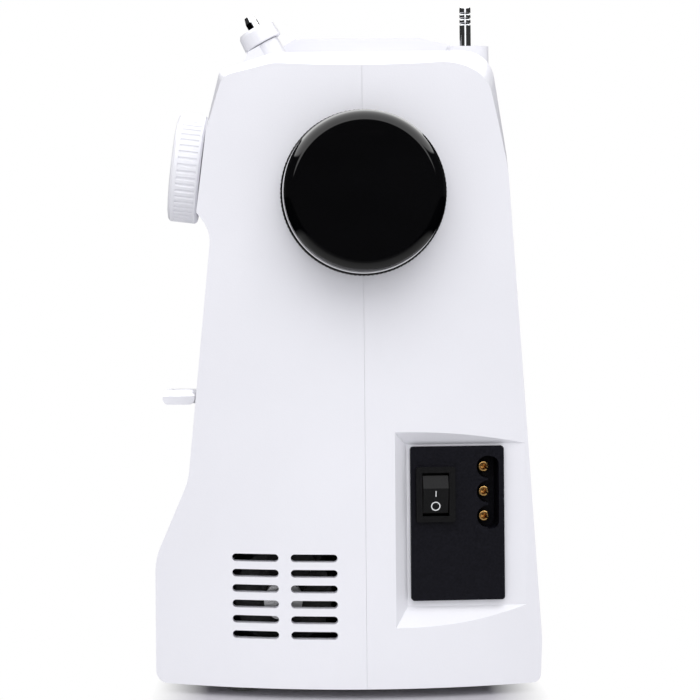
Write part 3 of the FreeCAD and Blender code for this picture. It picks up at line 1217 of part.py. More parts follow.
# Main frame: one casting with bearing lugs for the shafts and the bars
lug_y = ("seam_y - lug_half", "frame_y + web_thickness / 2")
lug_z = ("shaft_z - lug_half", "shaft_z + lug_half")
right_lug_x = "(end_x + right_lug_x)"
main_lug_x = (right_lug_x, "left_lug_x")
lower_lug_z = ("lower_z - lug_half", "lower_z + lug_half")
main_lugs = [block((x, x + " + bush_length"), lug_y, lug_z) for x in main_lug_x]
lower_lugs = [block((x, x + " + bush_length"), lug_y, lower_lug_z)
              for x in ("lower_right_lug_x", "lower_left_lug_x")]
bar_lug_x = ("needle_x - bar_lug_half", "link_x - link_gap")
bar_lug_front = "seam_y - bar_lug_half"
frame_parts = [
    block(("frame_left", "end_x + frame_right"), ("frame_y", "frame_rear_y"), ("beam_low_z", "beam_top_z")),
    block(("post_left", "post_right"), ("frame_y", "frame_rear_y"),
          ("rim_z + floor_thickness", "beam_low_z")),
    block(("post_left - post_foot_left", "post_right + post_foot"),
          ("frame_y - post_foot", "frame_rear_y + post_foot"),
          ("rim_z + floor_thickness", "rim_z + floor_thickness + web_thickness")),
    block(("lower_left_lug_x - bar_lug_half", "post_left"), ("frame_y", "frame_y + web_thickness"),
          ("free_z + lower_web_low", "bed_z - lower_web_top")),
    block(("lifter_x + lifter_width + lifter_gap", "needle_x + bar_lug_right"),
          ("frame_y", "frame_y + web_thickness"),
          ("lower_lug_z", "beam_low_z")),
    block(("frame_left", "lifter_x - lifter_gap"), ("frame_y", "frame_y + web_thickness"),
          ("lower_lug_z", "beam_low_z")),
    block(("frame_left", "lifter_x - lifter_gap"), ("presser_y - pin_lug_front", "frame_y"),
          ("lifter_z - pin_lug_half", "lifter_z + pin_lug_half")),
    block(("frame_left", "takeup_x - link_gap"), ("takeup_pin_y - pin_lug_front", "frame_y"),
          ("takeup_pin_z - pin_lug_half", "takeup_pin_z + pin_lug_half")),
    block(("needle_x - bar_lug_half", "needle_x + bar_lug_right"), (bar_lug_front, "frame_y"),
          ("lower_lug_z", "lower_lug_z + bar_bush_length")),
    block(bar_lug_x, (bar_lug_front, "frame_y"), ("upper_lug_z", "upper_lug_z + bar_bush_length")),
    block(bar_lug_x, ("presser_y - presser_lug_front", "frame_y"),
          ("presser_lug_z", "presser_lug_z + bar_bush_length")),
]
bush_outer = "shaft_radius + bush_wall"
lower_bush_outer = "lower_radius + bush_wall"
bar_bush_outer = "bar_radius + bar_bush_wall"
presser_bush_outer = "presser_radius + bar_bush_wall"
needle_bush_z = ("lower_lug_z", "upper_lug_z")
presser_bush_z = ("lower_lug_z", "presser_lug_z")
frame_bores = [
    rod("x", bush_outer, "left_lug_x - overshoot", right_lug_x + " + bush_length + overshoot", "seam_y",
        "shaft_z"),
    rod("x", lower_bush_outer, "lower_left_lug_x - overshoot", "lower_right_lug_x + bush_length + overshoot",
        "seam_y", "lower_z"),
    rod("x", "pin_radius", "frame_left - overshoot", "lifter_x", "presser_y", "lifter_z"),
    rod("x", "takeup_pin_radius", "frame_left - overshoot", "takeup_x", "takeup_pin_y", "takeup_pin_z"),
]
frame_bores += [rod("z", bar_bush_outer, z + " - overshoot", z + " + bar_bush_length + overshoot", "needle_x",
                    "seam_y")
                for z in needle_bush_z]
frame_bores += [rod("z", presser_bush_outer, z + " - overshoot", z + " + bar_bush_length + overshoot",
                    "needle_x", "presser_y")
                for z in presser_bush_z]
piece(cut(fuse(*frame_parts, *main_lugs, *lower_lugs), *frame_bores), "main_frame")

piece(group(*[ring("x", bush_outer, "shaft_radius + fit", x, x + " + bush_length", "seam_y", "shaft_z")
              for x in main_lug_x],
            *[ring("x", lower_bush_outer, "lower_radius + fit", x, x + " + bush_length", "seam_y", "lower_z")
              for x in ("lower_right_lug_x", "lower_left_lug_x")],
            *[ring("z", bar_bush_outer, "bar_radius + fit", z, z + " + bar_bush_length", "needle_x", "seam_y")
              for z in needle_bush_z],
            *[ring("z", presser_bush_outer, "presser_radius + fit", z, z + " + bar_bush_length", "needle_x",
                   "presser_y") for z in presser_bush_z]), "frame_bushes")

# Main shaft with the handwheel, the belt wheel, the timing pulley and the crank disc
piece(rod("x", "shaft_radius", "shaft_left", "end_x + cap_front - cap_face", "seam_y", "shaft_z"),
      "main_shaft")
shaft_bore = "shaft_radius + fit"
handwheel_profile = (("0", shaft_bore), ("0", "wheel_radius - 2.5 * wheel_chamfer"),
                     ("wheel_chamfer", "wheel_radius"),
                     ("flange_width - wheel_chamfer", "wheel_radius"),
                     ("flange_width", "wheel_radius - wheel_chamfer"),
                     ("cap_x - wheel_x", "cap_radius - neck_step"), ("cap_x - wheel_x", shaft_bore))
piece(turned("x", ("end_x + wheel_x", "seam_y", "shaft_z"), handwheel_profile), "handwheel")
cap_length = "cap_front - cap_x"
cap_profile = (("0", shaft_bore), ("0", "cap_radius - cap_rim"), ("cap_rim", "cap_radius"),
               (cap_length + " - cap_shoulder", "cap_radius"), (cap_length, "cap_radius - cap_shoulder"),
               (cap_length, "0"), (cap_length + " - cap_face + fit", "0"),
               (cap_length + " - cap_face + fit", shaft_bore))
cap_form = turned("x", ("end_x + cap_x", "seam_y", "shaft_z"), cap_profile)
cap_end = size("end_x") + size("cap_front")
piece(rounded(cap_form, 0.8 * size("cap_shoulder"),
              lambda edge: abs(edge.BoundBox.XMin - cap_end + size("cap_shoulder")) < 0.01
              or (abs(edge.BoundBox.XMin - cap_end) < 0.01 and edge.BoundBox.YLength > size("cap_radius"))),
      "handwheel_cap")


def pulley(low, width, radius, bore, axis_y, axis_z):
    """A flanged pulley on a shaft along X."""
    rim = radius + " + flange_height"
    right = width + " - pulley_flange"
    profile = (("0", bore), ("0", rim), ("pulley_flange", rim), ("pulley_flange", radius), (right, radius),
               (right, rim), (width, rim), (width, bore))
    return turned("x", (low, axis_y, axis_z), profile)


def belt(label, low, width, first, first_radius, second, second_radius, thickness):
    """A flat belt round two pulleys: two arcs and the two straight runs that touch them."""
    run = second - first
    along = unit(run.x, run.y, run.z)
    side = Vector(1, 0, 0).cross(along)

    def loop(grow):
        r1, r2 = first_radius + grow, second_radius + grow
        sine = (r1 - r2) / run.Length
        cosine = math.sqrt(1 - sine * sine)
        normals = [along * sine + side * cosine, along * sine - side * cosine]
        tops = [first + normals[0] * r1, first + normals[1] * r1]
        lows = [second + normals[0] * r2, second + normals[1] * r2]
        return Part.Wire([
            Part.Arc(tops[1], first - along * r1, tops[0]).toShape(),
            Part.LineSegment(tops[0], lows[0]).toShape(),
            Part.Arc(lows[0], second + along * r2, lows[1]).toShape(),
            Part.LineSegment(lows[1], tops[1]).toShape(),
        ])
    clearance = size("gap")
    profile = Part.Face(loop(clearance + thickness)).cut(Part.Face(loop(clearance)))
    return piece(solid(label, profile.extrude(Vector(width, 0, 0))), label)


belt_x = "(end_x + belt_x)"
piece(pulley(belt_x, "belt_width", "belt_wheel_radius", shaft_bore, "seam_y", "shaft_z"), "belt_wheel")
piece(pulley("timing_x", "timing_width", "upper_timing_radius", shaft_bore, "seam_y", "shaft_z"),
      "upper_timing_pulley")
crank_left = "shaft_left - crank_width + crank_seat"
crank_cut = (crank_left + " - overshoot", crank_left + " + crank_width + overshoot")
crank_disc = cut(
    rod("x", "crank_disc_radius", crank_left, crank_left + " + crank_width", "seam_y", "shaft_z"),
    rod("x", shaft_bore, "shaft_left - fit", "shaft_left + 2 * crank_width", "seam_y", "shaft_z"),
    block(crank_cut, ("seam_y - crank_disc_radius", "seam_y - crank_neck"),
          ("shaft_z", "shaft_z + crank_disc_radius")),
    block(crank_cut, ("seam_y + crank_neck", "seam_y + crank_disc_radius"),
          ("shaft_z", "shaft_z + crank_disc_radius")))
crank_pin = rod("x", "pin_radius", "link_x", crank_left, "seam_y", "shaft_z + crank_radius")
piece(fuse(crank_disc, crank_pin), "crank_disc")

shaft_centre = Vector(0, size("seam_y"), size("shaft_z"))
lower_centre = Vector(0, size("seam_y"), size("lower_z"))
motor_centre = Vector(0, size("motor_y"), size("motor_z"))
belt_low = Vector(size("end_x") + size("belt_x") + size("belt_edge"), 0, 0)
belt("drive_belt", belt_low.x, size("belt_width") - 2 * size("belt_edge"), shaft_centre + belt_low,
     size("belt_wheel_radius"),
     motor_centre + belt_low, size("motor_pulley_radius"), size("belt_thickness"))
timing_low = Vector(size("timing_x") + size("belt_edge"), 0, 0)
belt("timing_belt", timing_low.x, size("timing_width") - 2 * size("belt_edge"), shaft_centre + timing_low,
     size("upper_timing_radius"),
     lower_centre + timing_low, size("lower_timing_radius"), size("timing_belt_thickness"))

# Motor behind the vents, strapped to a saddle on the base tray
motor_right = "end_x + motor_right"
motor_length = "(end_x + motor_right - motor_left)"
motor_bore = "motor_shaft_radius + fit"
bore_end = motor_length + " - motor_bore_depth"
motor_profile = (("0", "0"), ("0", "motor_radius - motor_shoulder"), ("motor_chamfer", "motor_radius"),
                 (motor_length + " - motor_chamfer", "motor_radius"),
                 (motor_length, "motor_radius - motor_shoulder"),
                 (motor_length, motor_bore), (bore_end, motor_bore), (bore_end, "0"))
piece(turned("x", ("motor_left", "motor_y", "motor_z"), motor_profile), "motor")
saddle_half = "(motor_radius - saddle_side)"
saddle = block(("motor_left + saddle_inset", motor_right + " - saddle_inset"),
               ("motor_y - " + saddle_half, "motor_y + " + saddle_half),
               ("rim_z + floor_thickness", "motor_z - saddle_drop"))
piece(cut(saddle, rod("x", "motor_radius + fit", "motor_left", motor_right, "motor_y", "motor_z")),
      "motor_saddle")
piece(fuse(pulley(belt_x, "belt_width", "motor_pulley_radius", "motor_shaft_radius / 2", "motor_y",
                  "motor_z"),
           rod("x", "motor_shaft_radius", motor_right + " - motor_bore_depth + gap", belt_x + " + belt_width",
               "motor_y", "motor_z")), "motor_pulley")

# Lower shaft, its pulley, the rotary hook and the bobbin in its case
piece(rod("x", "lower_radius", "hook_right", "timing_x + timing_width", "seam_y", "lower_z"), "lower_shaft")
piece(pulley("timing_x", "timing_width", "lower_timing_radius", "lower_radius + fit", "seam_y", "lower_z"),
      "lower_timing_pulley")
hook_length = "hook_right - hook_left"
hook_inner = "hook_radius - hook_wall"
hook_bottom = hook_length + " - hook_floor"
hook_profile = (("hook_lip", hook_inner), ("hook_lip", "hook_radius"), (hook_length, "hook_radius"),
                (hook_length, "0"), (hook_bottom, "0"), (hook_bottom, hook_inner))
hook_gap = block(("hook_left - overshoot", "hook_right - 2 * hook_floor"),
                 ("seam_y + hook_lip", "seam_y + hook_radius + overshoot"),
                 ("lower_z + 2 * hook_floor", "lower_z + hook_radius + overshoot"))
piece(cut(turned("x", ("hook_left", "seam_y", "lower_z"), hook_profile), hook_gap), "rotary_hook")
case_radius = hook_inner + " - gap"
case_inner = case_radius + " - case_wall"
case_end = hook_bottom + " - gap"
case_profile = (("0", "case_hole"), ("0", case_radius), (case_end, case_radius), (case_end, case_inner),
                ("case_face", case_inner), ("case_face", "case_hole"))
piece(turned("x", ("hook_left", "seam_y", "lower_z"), case_profile), "bobbin_case")
bobbin_length = hook_length + " - bobbin_start - bobbin_end"
bobbin_radius = case_inner + " - gap"
groove_radius = bobbin_radius + " - bobbin_groove"
right_flange = bobbin_length + " - bobbin_flange"
bobbin_profile = (("0", "bobbin_bore"), ("0", bobbin_radius), ("bobbin_flange", bobbin_radius),
                  ("bobbin_flange", groove_radius), (right_flange, groove_radius),
                  (right_flange, bobbin_radius),
                  (bobbin_length, bobbin_radius), (bobbin_length, "bobbin_bore"))
piece(turned("x", ("hook_left + bobbin_start", "seam_y", "lower_z"), bobbin_profile), "bobbin")

# Needle bar, the stud that the link drives, the clamp with its screw, and the needle
eye_z = "shaft_z + crank_radius"
stud_z = "shaft_z + crank_radius - link_length"
link_right = "link_x + link_width"
eye_radius = "pin_radius + eye_wall"
link_form = fuse(block(("link_x", link_right), ("seam_y - link_half", "seam_y + link_half"), (stud_z, eye_z)),
                 *[rod("x", eye_radius, "link_x", link_right, "seam_y", z) for z in (eye_z, stud_z)])
link_bores = [rod("x", "pin_radius + fit", "link_x - overshoot", link_right + " + overshoot", "seam_y", z)
              for z in (eye_z, stud_z)]
piece(cut(link_form, *link_bores), "needle_link")
bar_bore = "bar_radius + fit"
piece(rod("z", "bar_radius", "bar_low_z", "bar_top_z", "needle_x", "seam_y"), "needle_bar")
stud_block = block(("needle_x - stud_half", "link_x - 2 * link_gap"),
                   ("seam_y - stud_half", "seam_y + stud_half"),
                   (stud_z + " - stud_height", stud_z + " + stud_height"))
stud_pin = rod("x", "pin_radius", "link_x - 3 * link_gap", "link_x - 2 * gap", "seam_y", stud_z)
stud_bore = rod("z", bar_bore, stud_z + " - 2 * stud_height", stud_z + " + 2 * stud_height", "needle_x",
                "seam_y")
piece(cut(fuse(stud_block, stud_pin), stud_bore), "needle_stud")
clamp_low = "bar_low_z - clamp_drop"
clamp_screw_z = "bar_low_z - clamp_screw_drop"
shank_radius = "needle_radius + shank_extra"
piece(cut(rod("z", "bar_radius + clamp_wall", clamp_low, "bar_low_z + clamp_grip", "needle_x", "seam_y"),
          rod("z", bar_bore, "bar_low_z", "bar_low_z + 2 * clamp_grip", "needle_x", "seam_y"),
          rod("z", shank_radius + " + fit", clamp_low + " - overshoot", "bar_low_z", "needle_x", "seam_y"),
          rod("x", "clamp_screw_radius + fit", "needle_x", "needle_x + 2 * clamp_grip", "seam_y",
              clamp_screw_z)),
      "needle_clamp")
clamp_screw_end = "clamp_screw_length + clamp_head_length"
screw_profile = (("0", "0"), ("0", "clamp_screw_radius"), ("clamp_screw_length", "clamp_screw_radius"),
                 ("clamp_screw_length", "clamp_head_radius"),
                 (clamp_screw_end + " - clamp_chamfer", "clamp_head_radius"),
                 (clamp_screw_end, "clamp_head_radius - clamp_chamfer"), (clamp_screw_end, "0"))
piece(turned("x", ("needle_x + %s + 2 * fit" % shank_radius, "seam_y", clamp_screw_z), screw_profile),
      "clamp_screw")
needle_length = "bar_low_z - needle_tip_z"
needle_profile = (("0", "0"), ("needle_point", "needle_radius * 0.6"),
                  ("1.5 * needle_point", "needle_radius * 0.7"),
                  (needle_length + " - 1.2 * needle_shank", "needle_radius * 0.7"),
                  (needle_length + " - needle_shank", shank_radius), (needle_length, shank_radius),
                  (needle_length, "0"))
piece(turned("z", ("needle_x", "seam_y", "needle_tip_z"), needle_profile), "needle")

# Take-up lever on its pin, with its eye out through the slot of the front shell
hub_radius = "takeup_pin_radius + eye_wall"
takeup_x = ("takeup_x", "takeup_x + takeup_width")
takeup_bore = ("takeup_x - overshoot", "takeup_x + takeup_width + overshoot")
takeup_nose = "takeup_tip_y - takeup_nose"
takeup_arm = plate("YZ_Plane", (("takeup_pin_y", "takeup_pin_z - takeup_root"),
                                ("takeup_pin_y", "takeup_pin_z + takeup_root"),
                                ("takeup_tip_y", "takeup_tip_z + takeup_tip"),
                                (takeup_nose, "takeup_tip_z + takeup_nose"),
                                (takeup_nose, "takeup_tip_z - takeup_nose"),
                                ("takeup_tip_y", "takeup_tip_z - takeup_tip")), *takeup_x)
piece(cut(fuse(takeup_arm, rod("x", hub_radius, *takeup_x, "takeup_pin_y", "takeup_pin_z")),
          rod("x", "takeup_pin_radius + fit", *takeup_bore, "takeup_pin_y", "takeup_pin_z"),
          rod("x", "takeup_eye", *takeup_bore, "takeup_tip_y", "takeup_tip_z")), "take_up_lever")
takeup_head = "takeup_x + takeup_width + gap - frame_left"
takeup_pin_profile = (("0", "0"), ("0", "takeup_pin_radius"), (takeup_head, "takeup_pin_radius"),
                      (takeup_head, "takeup_pin_radius + pin_head"),
                      (takeup_head + " + pin_head", "takeup_pin_radius + pin_head"),
                      (takeup_head + " + pin_head", "0"))
takeup_pin = turned("x", ("frame_left", "takeup_pin_y", "takeup_pin_z"), takeup_pin_profile)

# Presser bar with its bracket, the lifter cam under it, the shank and the hinged foot
piece(rod("z", "presser_radius", "presser_low_z", "presser_top_z", "needle_x", "presser_y"), "presser_bar")
presser_bore = "presser_radius + fit"
bracket = block(("lifter_x", "needle_x + bracket_half"),
                ("presser_y - bracket_half", "presser_y + bracket_half"),
                ("bracket_z", "bracket_z + bracket_height"))
bracket_bore = rod("z", presser_bore, "bracket_z - overshoot", "bracket_z + bracket_height + overshoot",
                   "needle_x",
                   "presser_y")
piece(cut(bracket, bracket_bore), "presser_bracket")
lifter_span = ("lifter_x", "lifter_x + lifter_width")
cam_lean = math.radians(size("lifter_cam_lean"))
cam_across = size("lifter_offset") * math.sin(cam_lean)
cam_drop = size("lifter_offset") * math.cos(cam_lean)
cam = rod("x", "lifter_cam_radius", *lifter_span, "presser_y + %g" % cam_across, "lifter_z - %g" % cam_drop)
lifter_tip_z = "lifter_z - lifter_drop"
lifter_nose_y = "presser_y + lifter_length - 0.5 * lifter_half"
lifter_arm = plate("YZ_Plane",
                   (("presser_y", "lifter_z - lifter_half"), ("presser_y", "lifter_z + 0.7 * lifter_half"),
                                (lifter_nose_y, lifter_tip_z + " + 0.75 * lifter_half"),
                                ("presser_y + lifter_length", lifter_tip_z + " + 0.25 * lifter_half"),
                                (lifter_nose_y, lifter_tip_z + " - lifter_half")), *lifter_span)
lifter_bore = rod("x", "pin_radius + fit", "lifter_x - overshoot", "lifter_x + lifter_width + overshoot",
                  "presser_y",
                  "lifter_z")
piece(cut(fuse(cam, lifter_arm), lifter_bore), "presser_lifter")
lifter_head = "lifter_x + lifter_width + gap - frame_left"
lifter_pin_profile = (("0", "0"), ("0", "pin_radius"), (lifter_head, "pin_radius"),
                      (lifter_head, "pin_radius + gap"),
                      (lifter_head + " + pin_head", "pin_radius + gap"), (lifter_head + " + pin_head", "0"))
piece(group(takeup_pin, turned("x", ("frame_left", "presser_y", "lifter_z"), lifter_pin_profile)),
      "frame_pins")
ankle_y = "presser_y - ankle_offset"
ankle_z = "foot_sole_z + ankle_height"
shank = fuse(
    block(("needle_x - shank_half", "needle_x + shank_half"),
          ("presser_y - shank_front", "presser_y + shank_half"),
          ("presser_low_z - shank_low", "presser_low_z + shank_height")),
    block(("needle_x - tongue_half", "needle_x + tongue_half"),
          (ankle_y + " - tongue_front", "presser_y + tongue_rear"),
          ("foot_sole_z + tongue_low", "presser_low_z")))
shank_bore = rod("z", presser_bore, "presser_low_z", "presser_low_z + 2 * shank_height", "needle_x",
                 "presser_y")
ankle_bore = rod("x", "ankle_radius + fit", "needle_x - 2 * shank_half", "needle_x + 2 * shank_half", ankle_y,
                 ankle_z)
piece(cut(shank, shank_bore, ankle_bore), "presser_shank")
sole = cut(
    block(("needle_x - foot_half", "needle_x + foot_half"), ("seam_y - foot_front", "presser_y"),
          ("foot_sole_z", "foot_sole_z + sole_thickness")),
    block(("needle_x - foot_slot_half", "needle_x + foot_slot_half"),
          ("seam_y - foot_front - overshoot", "seam_y + foot_slot_rear"),
          ("foot_sole_z - overshoot", "foot_sole_z + overshoot")))
toe_line = size("seam_y") - 0.8 * size("foot_front")
toes = rounded(sole, size("toe_round"), lambda edge: runs_along("z")(edge) and edge.CenterOfMass.y < toe_line)
ear_sides = (("needle_x - ear_gap - ear_width", "needle_x - ear_gap"),
             ("needle_x + ear_gap", "needle_x + ear_gap + ear_width"))
ears = [block(side, (ankle_y + " - ear_half", ankle_y + " + ear_half"),
              ("foot_sole_z + sole_thickness / 2", ankle_z + " + ear_top")) for side in ear_sides]
ankle_pin = rod("x", "ankle_radius", "needle_x - ankle_half", "needle_x + ankle_half", ankle_y, ankle_z)
piece(fuse(toes, ankle_pin, *ears), "presser_foot")

# Stitch dial: a ribbed ring between plain rims, on a spindle with its pattern cam
dial_start = "dial_gap"
dial_end = "dial_gap + dial_thickness"
core = "dial_radius - rib_height"
rim_end = dial_start + " + dial_rim"
face_start = dial_end + " - dial_face_rim"
dial_profile = ((dial_start, "0"), (dial_start, "dial_radius - dial_rim / 2"),
                (dial_start + " + dial_rim / 2", "dial_radius"), (rim_end, "dial_radius"), (rim_end, core),
                (face_start, core), (face_start, "dial_radius"), (dial_end + " - dial_edge", "dial_radius"),
                (dial_end + " - 0.25 * dial_edge", "dial_radius - 0.75 * dial_edge"),
                (dial_end, "dial_radius - dial_bevel"), (dial_end, "0"))


def rib_ring(first, last):
    """Flat-topped ribs round the dial, as one toothed ring."""
    count = int(size("rib_count"))
    outer_radius, foot_radius = size("dial_radius"), size("dial_radius") - size("rib_height")
    inner_radius = foot_radius - 2 * size("rib_height")
    share = (0.28, 0.72, 0.9, 1.1)
    heights = (outer_radius, outer_radius, foot_radius, foot_radius)
    points = []
    for i in range(count):
        for part, radius in zip(share, heights):
            angle = 2 * math.pi * (i + part) / count
            points.append(Vector(first, radius * math.cos(angle), radius * math.sin(angle)))
    teeth = Part.Face(Part.makePolygon(points + points[:1])).extrude(Vector(last - first, 0, 0))
    return teeth.cut(Part.makeCylinder(inner_radius, last - first, Vector(first, 0, 0), Vector(1, 0, 0)))


rib_first = size("dial_gap") + size("dial_rim")
rib_last = size("dial_gap") + size("dial_thickness") - size("dial_face_rim")
dial_turn = Placement(dial_foot, Rotation(Vector(1, 0, 0), dial_axis))
dial_ribs = solid("dial_ribs", rib_ring(rib_first, rib_last), dial_turn)
piece(fuse(spun_at(dial_foot, dial_axis, dial_profile), dial_ribs), "stitch_dial")
cam_end = "-cam_start - cam_length"
inner_cam_end = cam_end + " - inner_cam_length"
spindle_profile = (("dial_gap", "0"), ("dial_gap", "spindle_radius"), ("-cam_start", "spindle_radius"),
                   ("-cam_start", "cam_radius"), (cam_end, "cam_radius"), (cam_end, "inner_cam_radius"),
                   (inner_cam_end, "inner_cam_radius"), (inner_cam_end, "0"))
piece(spun_at(dial_foot, dial_axis, spindle_profile), "dial_spindle")

# Reverse lever: a paddle on an arm that turns on a pin inside the column
paddle_y = ("lever_tip_y", "lever_pin_y - lever_arm_length")
half_lever = "lever_thickness / 2"
paddle_block = rounded(
    block((lever_left, lever_right), paddle_y, ("lever_z - " + half_lever, "lever_z + " + half_lever)),
    0.4 * size("lever_thickness"), runs_along("x"))
dome_radius = "(lever_width ^ 2 / 4 + lever_dome ^ 2) / (2 * lever_dome)"
paddle_dome = rod("y", dome_radius, *paddle_y, lever_left + " + lever_width / 2",
                  "lever_z + %s - %s" % (half_lever, dome_radius))
paddle = common(paddle_block, paddle_dome)
lever_arm = block((lever_left + " + lever_side", lever_right + " - lever_side"),
                  ("lever_pin_y - lever_arm_length - lever_lap", "lever_pin_y"),
                  ("lever_z - %s + lever_step" % half_lever, "lever_z + %s - lever_step" % half_lever))
lever_hub = rod("x", "pin_radius + hub_wall", lever_left + " - boss_gap + gap",
                lever_right + " + boss_gap - gap",
                "lever_pin_y", "lever_z")
piece(cut(fuse(paddle, lever_arm, lever_hub),
          rod("x", "pin_radius + fit", lever_left + " - 2 * boss_wall", lever_right + " + 2 * boss_wall",
              "lever_pin_y", "lever_z")),
      "reverse_lever")
reverse_pin = rod("x", "pin_radius", lever_left + " - boss_gap - boss_wall",
                  lever_right + " + boss_gap + boss_wall",
                  "lever_pin_y", "lever_z")

# Tension wheel in the front top edge of the head, on its axle
tension_profile = (("0", "pin_radius + fit"), ("0", "tension_radius - tension_bevel"),
                   ("tension_rim", "tension_radius"),
                   ("tension_width - tension_rim", "tension_radius"),
                   ("tension_width", "tension_radius - tension_bevel"),
                   ("tension_width", "pin_radius + fit"))
piece(turned("x", ("tension_x", "tension_y", "tension_z"), tension_profile), "tension_wheel")
tension_axle = rod("x", "pin_radius", "tension_x - boss_gap - boss_wall",
                   tension_right + " + boss_gap + boss_wall",
                   "tension_y", "tension_z")
piece(group(reverse_pin, tension_axle, *hinge_pins), "casing_pins")

# Bobbin winder: a carriage that shifts to its stop, with a spindle and disc that spin in it
carriage = fuse(
    leaning_rod(winder_foot, winder_axis, "winder_neck_radius", -size("winder_root"),
                size("winder_neck_length")),
    block(("end_x + winder_x - carriage_left", "end_x + winder_x + carriage_right"),
          ("winder_y - carriage_front", "winder_y + carriage_rear"),
          ("winder_z - carriage_drop - carriage_thickness", "winder_z - carriage_drop")))
carriage_bore = leaning_rod(winder_foot, winder_axis, "winder_spindle_radius + fit", -2 * size("winder_tail"),
                            2 * size("winder_tail"))
piece(cut(carriage, carriage_bore), "winder_carriage")
disc_start = "winder_neck_length + gap"
disc_end = "winder_neck_length + gap + winder_disc_thickness"
spindle_bore = "winder_spindle_radius + fit"
rim = "winder_disc_radius"
disc_profile = ((disc_start, spindle_bore), (disc_start, rim + " - 0.05 * " + rim),
                (disc_start + " + 0.05 * " + rim, rim),
                (disc_end + " - 0.15 * " + rim, rim + " - 0.045 * " + rim),
                (disc_end, rim + " - 0.14 * " + rim), (disc_end, spindle_bore))
piece(spun_at(winder_foot, winder_axis, disc_profile), "winder_disc")
spindle_top = disc_end + " + winder_spindle_length"
taper_start = disc_end + " + 0.55 * winder_spindle_length"
winder_profile = (("-winder_tail", "0"), ("-winder_tail", "winder_spindle_radius"),
                  (taper_start, "winder_spindle_radius"), (spindle_top, "0.7 * winder_spindle_radius"),
                  (spindle_top, "0"))
piece(spun_at(winder_foot, winder_axis, winder_profile), "winder_spindle")

# Spool pin: slides up out of its seat on the rear of the top
pin_length = "spool_top_z - spool_low_z"
pin_profile = [("0", "0"), ("0", "spool_radius")]
groove_radius = "spool_radius - groove_depth"
for number in (2, 1, 0):
    groove_top = pin_length + " - groove_first - %d * groove_pitch" % number
    groove_low = groove_top + " - groove_height"
    pin_profile += [(groove_low, "spool_radius"), (groove_top + " - groove_neck", groove_radius),
                    (groove_top, groove_radius), (groove_top, "spool_radius")]
pin_profile += [(pin_length + " - 1.3 * spool_tip", "spool_radius"),
                (pin_length + " - spool_tip", "0.94 * spool_radius"),
                (pin_length, "0.12 * spool_radius"), (pin_length, "0")]
piece(turned("z", (spool_x, "spool_y", "spool_low_z"), pin_profile), "spool_pin")

# Carrying handle: a bail folded flat on the top, on two pivot blocks
handle_low = "handle_pivot_z - handle_eye_radius"
handle_top = handle_low + " + handle_thickness"
handle_right = "(end_x + handle_right)"
handle_front = (("handle_front_y + handle_slope", handle_top),
                ("handle_front_y + handle_nose", handle_top + " - handle_nose_drop"),
                ("handle_front_y", handle_low + " + handle_lip"),
                ("handle_front_y + handle_lip_back", handle_low))


def handle_leg(low, high):
    """One leg of the handle, round at its pivot and sloping at both ends."""
    side = plate("YZ_Plane",
                 (("handle_pivot_y", handle_low), ("handle_pivot_y", "handle_pivot_z + handle_eye_radius"),
                              ("handle_pivot_y - leg_slope", handle_top), *handle_front), low, high)
    return fuse(side, rod("x", "handle_eye_radius", low, high, "handle_pivot_y", "handle_pivot_z"))


grip_bar = plate("YZ_Plane",
                 (("handle_front_y + grip_low", handle_low), ("handle_front_y + grip_top", handle_top),
                              *handle_front), "handle_left", handle_right)
left_inside = "handle_left + leg_width"
right_inside = handle_right + " - leg_width"
handle_form = fuse(handle_leg("handle_left", left_inside), handle_leg(right_inside, handle_right), grip_bar)
left_pivot = (left_inside + " - pivot_reach", left_inside + " + pivot_width")
right_pivot = (right_inside + " - pivot_width", right_inside + " + pivot_reach")
handle_bores = [rod("x", "pin_radius + fit", low + " - pivot_play", high + " + pivot_play", "handle_pivot_y",
                    "handle_pivot_z") for low, high in (left_pivot, right_pivot)]
piece(cut(handle_form, *handle_bores), "carrying_handle")


def pivot_block(low, high, pin):
    """A block screwed to the top, with a pin that carries one leg."""
    body = rounded(block((low, high), ("handle_pivot_y - pivot_half", "handle_pivot_y + pivot_half"),
                         ("top_z", "handle_pivot_z + pivot_top")), size("pivot_round"),
                   lambda edge: runs_along("x")(edge) and edge.CenterOfMass.z > size("handle_pivot_z"))
    return fuse(body, rod("x", "pin_radius", *pin, "handle_pivot_y", "handle_pivot_z"))


piece(group(pivot_block(left_inside + " + gap", left_pivot[1], left_pivot),
            pivot_block(right_pivot[0], right_inside + " - gap", right_pivot)), "handle_pivots")

# Power panel with the inlet socket, the rocker switch and the three brass pins
panel_plate = block(("0", "panel_thickness"), ("-panel_width / 2", "panel_width / 2"),
                    ("-panel_height / 2", "panel_height / 2"))
socket_back = block(("-inlet_depth - socket_floor", "panel_thickness / 2"), *inlet_span("socket_wall"))
lobe_y = "inlet_y - inlet_width / 2 + inlet_lobe_radius"
pin_y = "inlet_y - inlet_width / 2 + pin_inset"
pin_heights = ["inlet_z + pin_rise + %d * inlet_pitch" % i for i in (-1, 0, 1)]
socket_depth = ("-inlet_depth", "2 * panel_thickness")
socket_lobes = [rod("x", "inlet_lobe_radius", *socket_depth, lobe_y, z) for z in pin_heights]
inlet_side = (lobe_y, "inlet_y + inlet_width / 2")
inlet_line = size("inlet_y") + size("inlet_width") / 4
socket_side = rounded(
    block(socket_depth, inlet_side, ("inlet_z - inlet_height / 2", "inlet_z + inlet_height / 2")),
    size("inlet_round"),
    lambda edge: runs_along("x")(edge) and edge.CenterOfMass.y > inlet_line)
switch_hole = block(("-panel_reach", "2 * panel_thickness"), *switch_span("switch_ledge - snap_gap"))
panel_form = fuse(rounded(panel_plate, size("panel_round"), runs_along("x")), socket_back)
piece(on_panel(cut(panel_form, switch_hole, socket_side, *socket_lobes)), "power_panel")
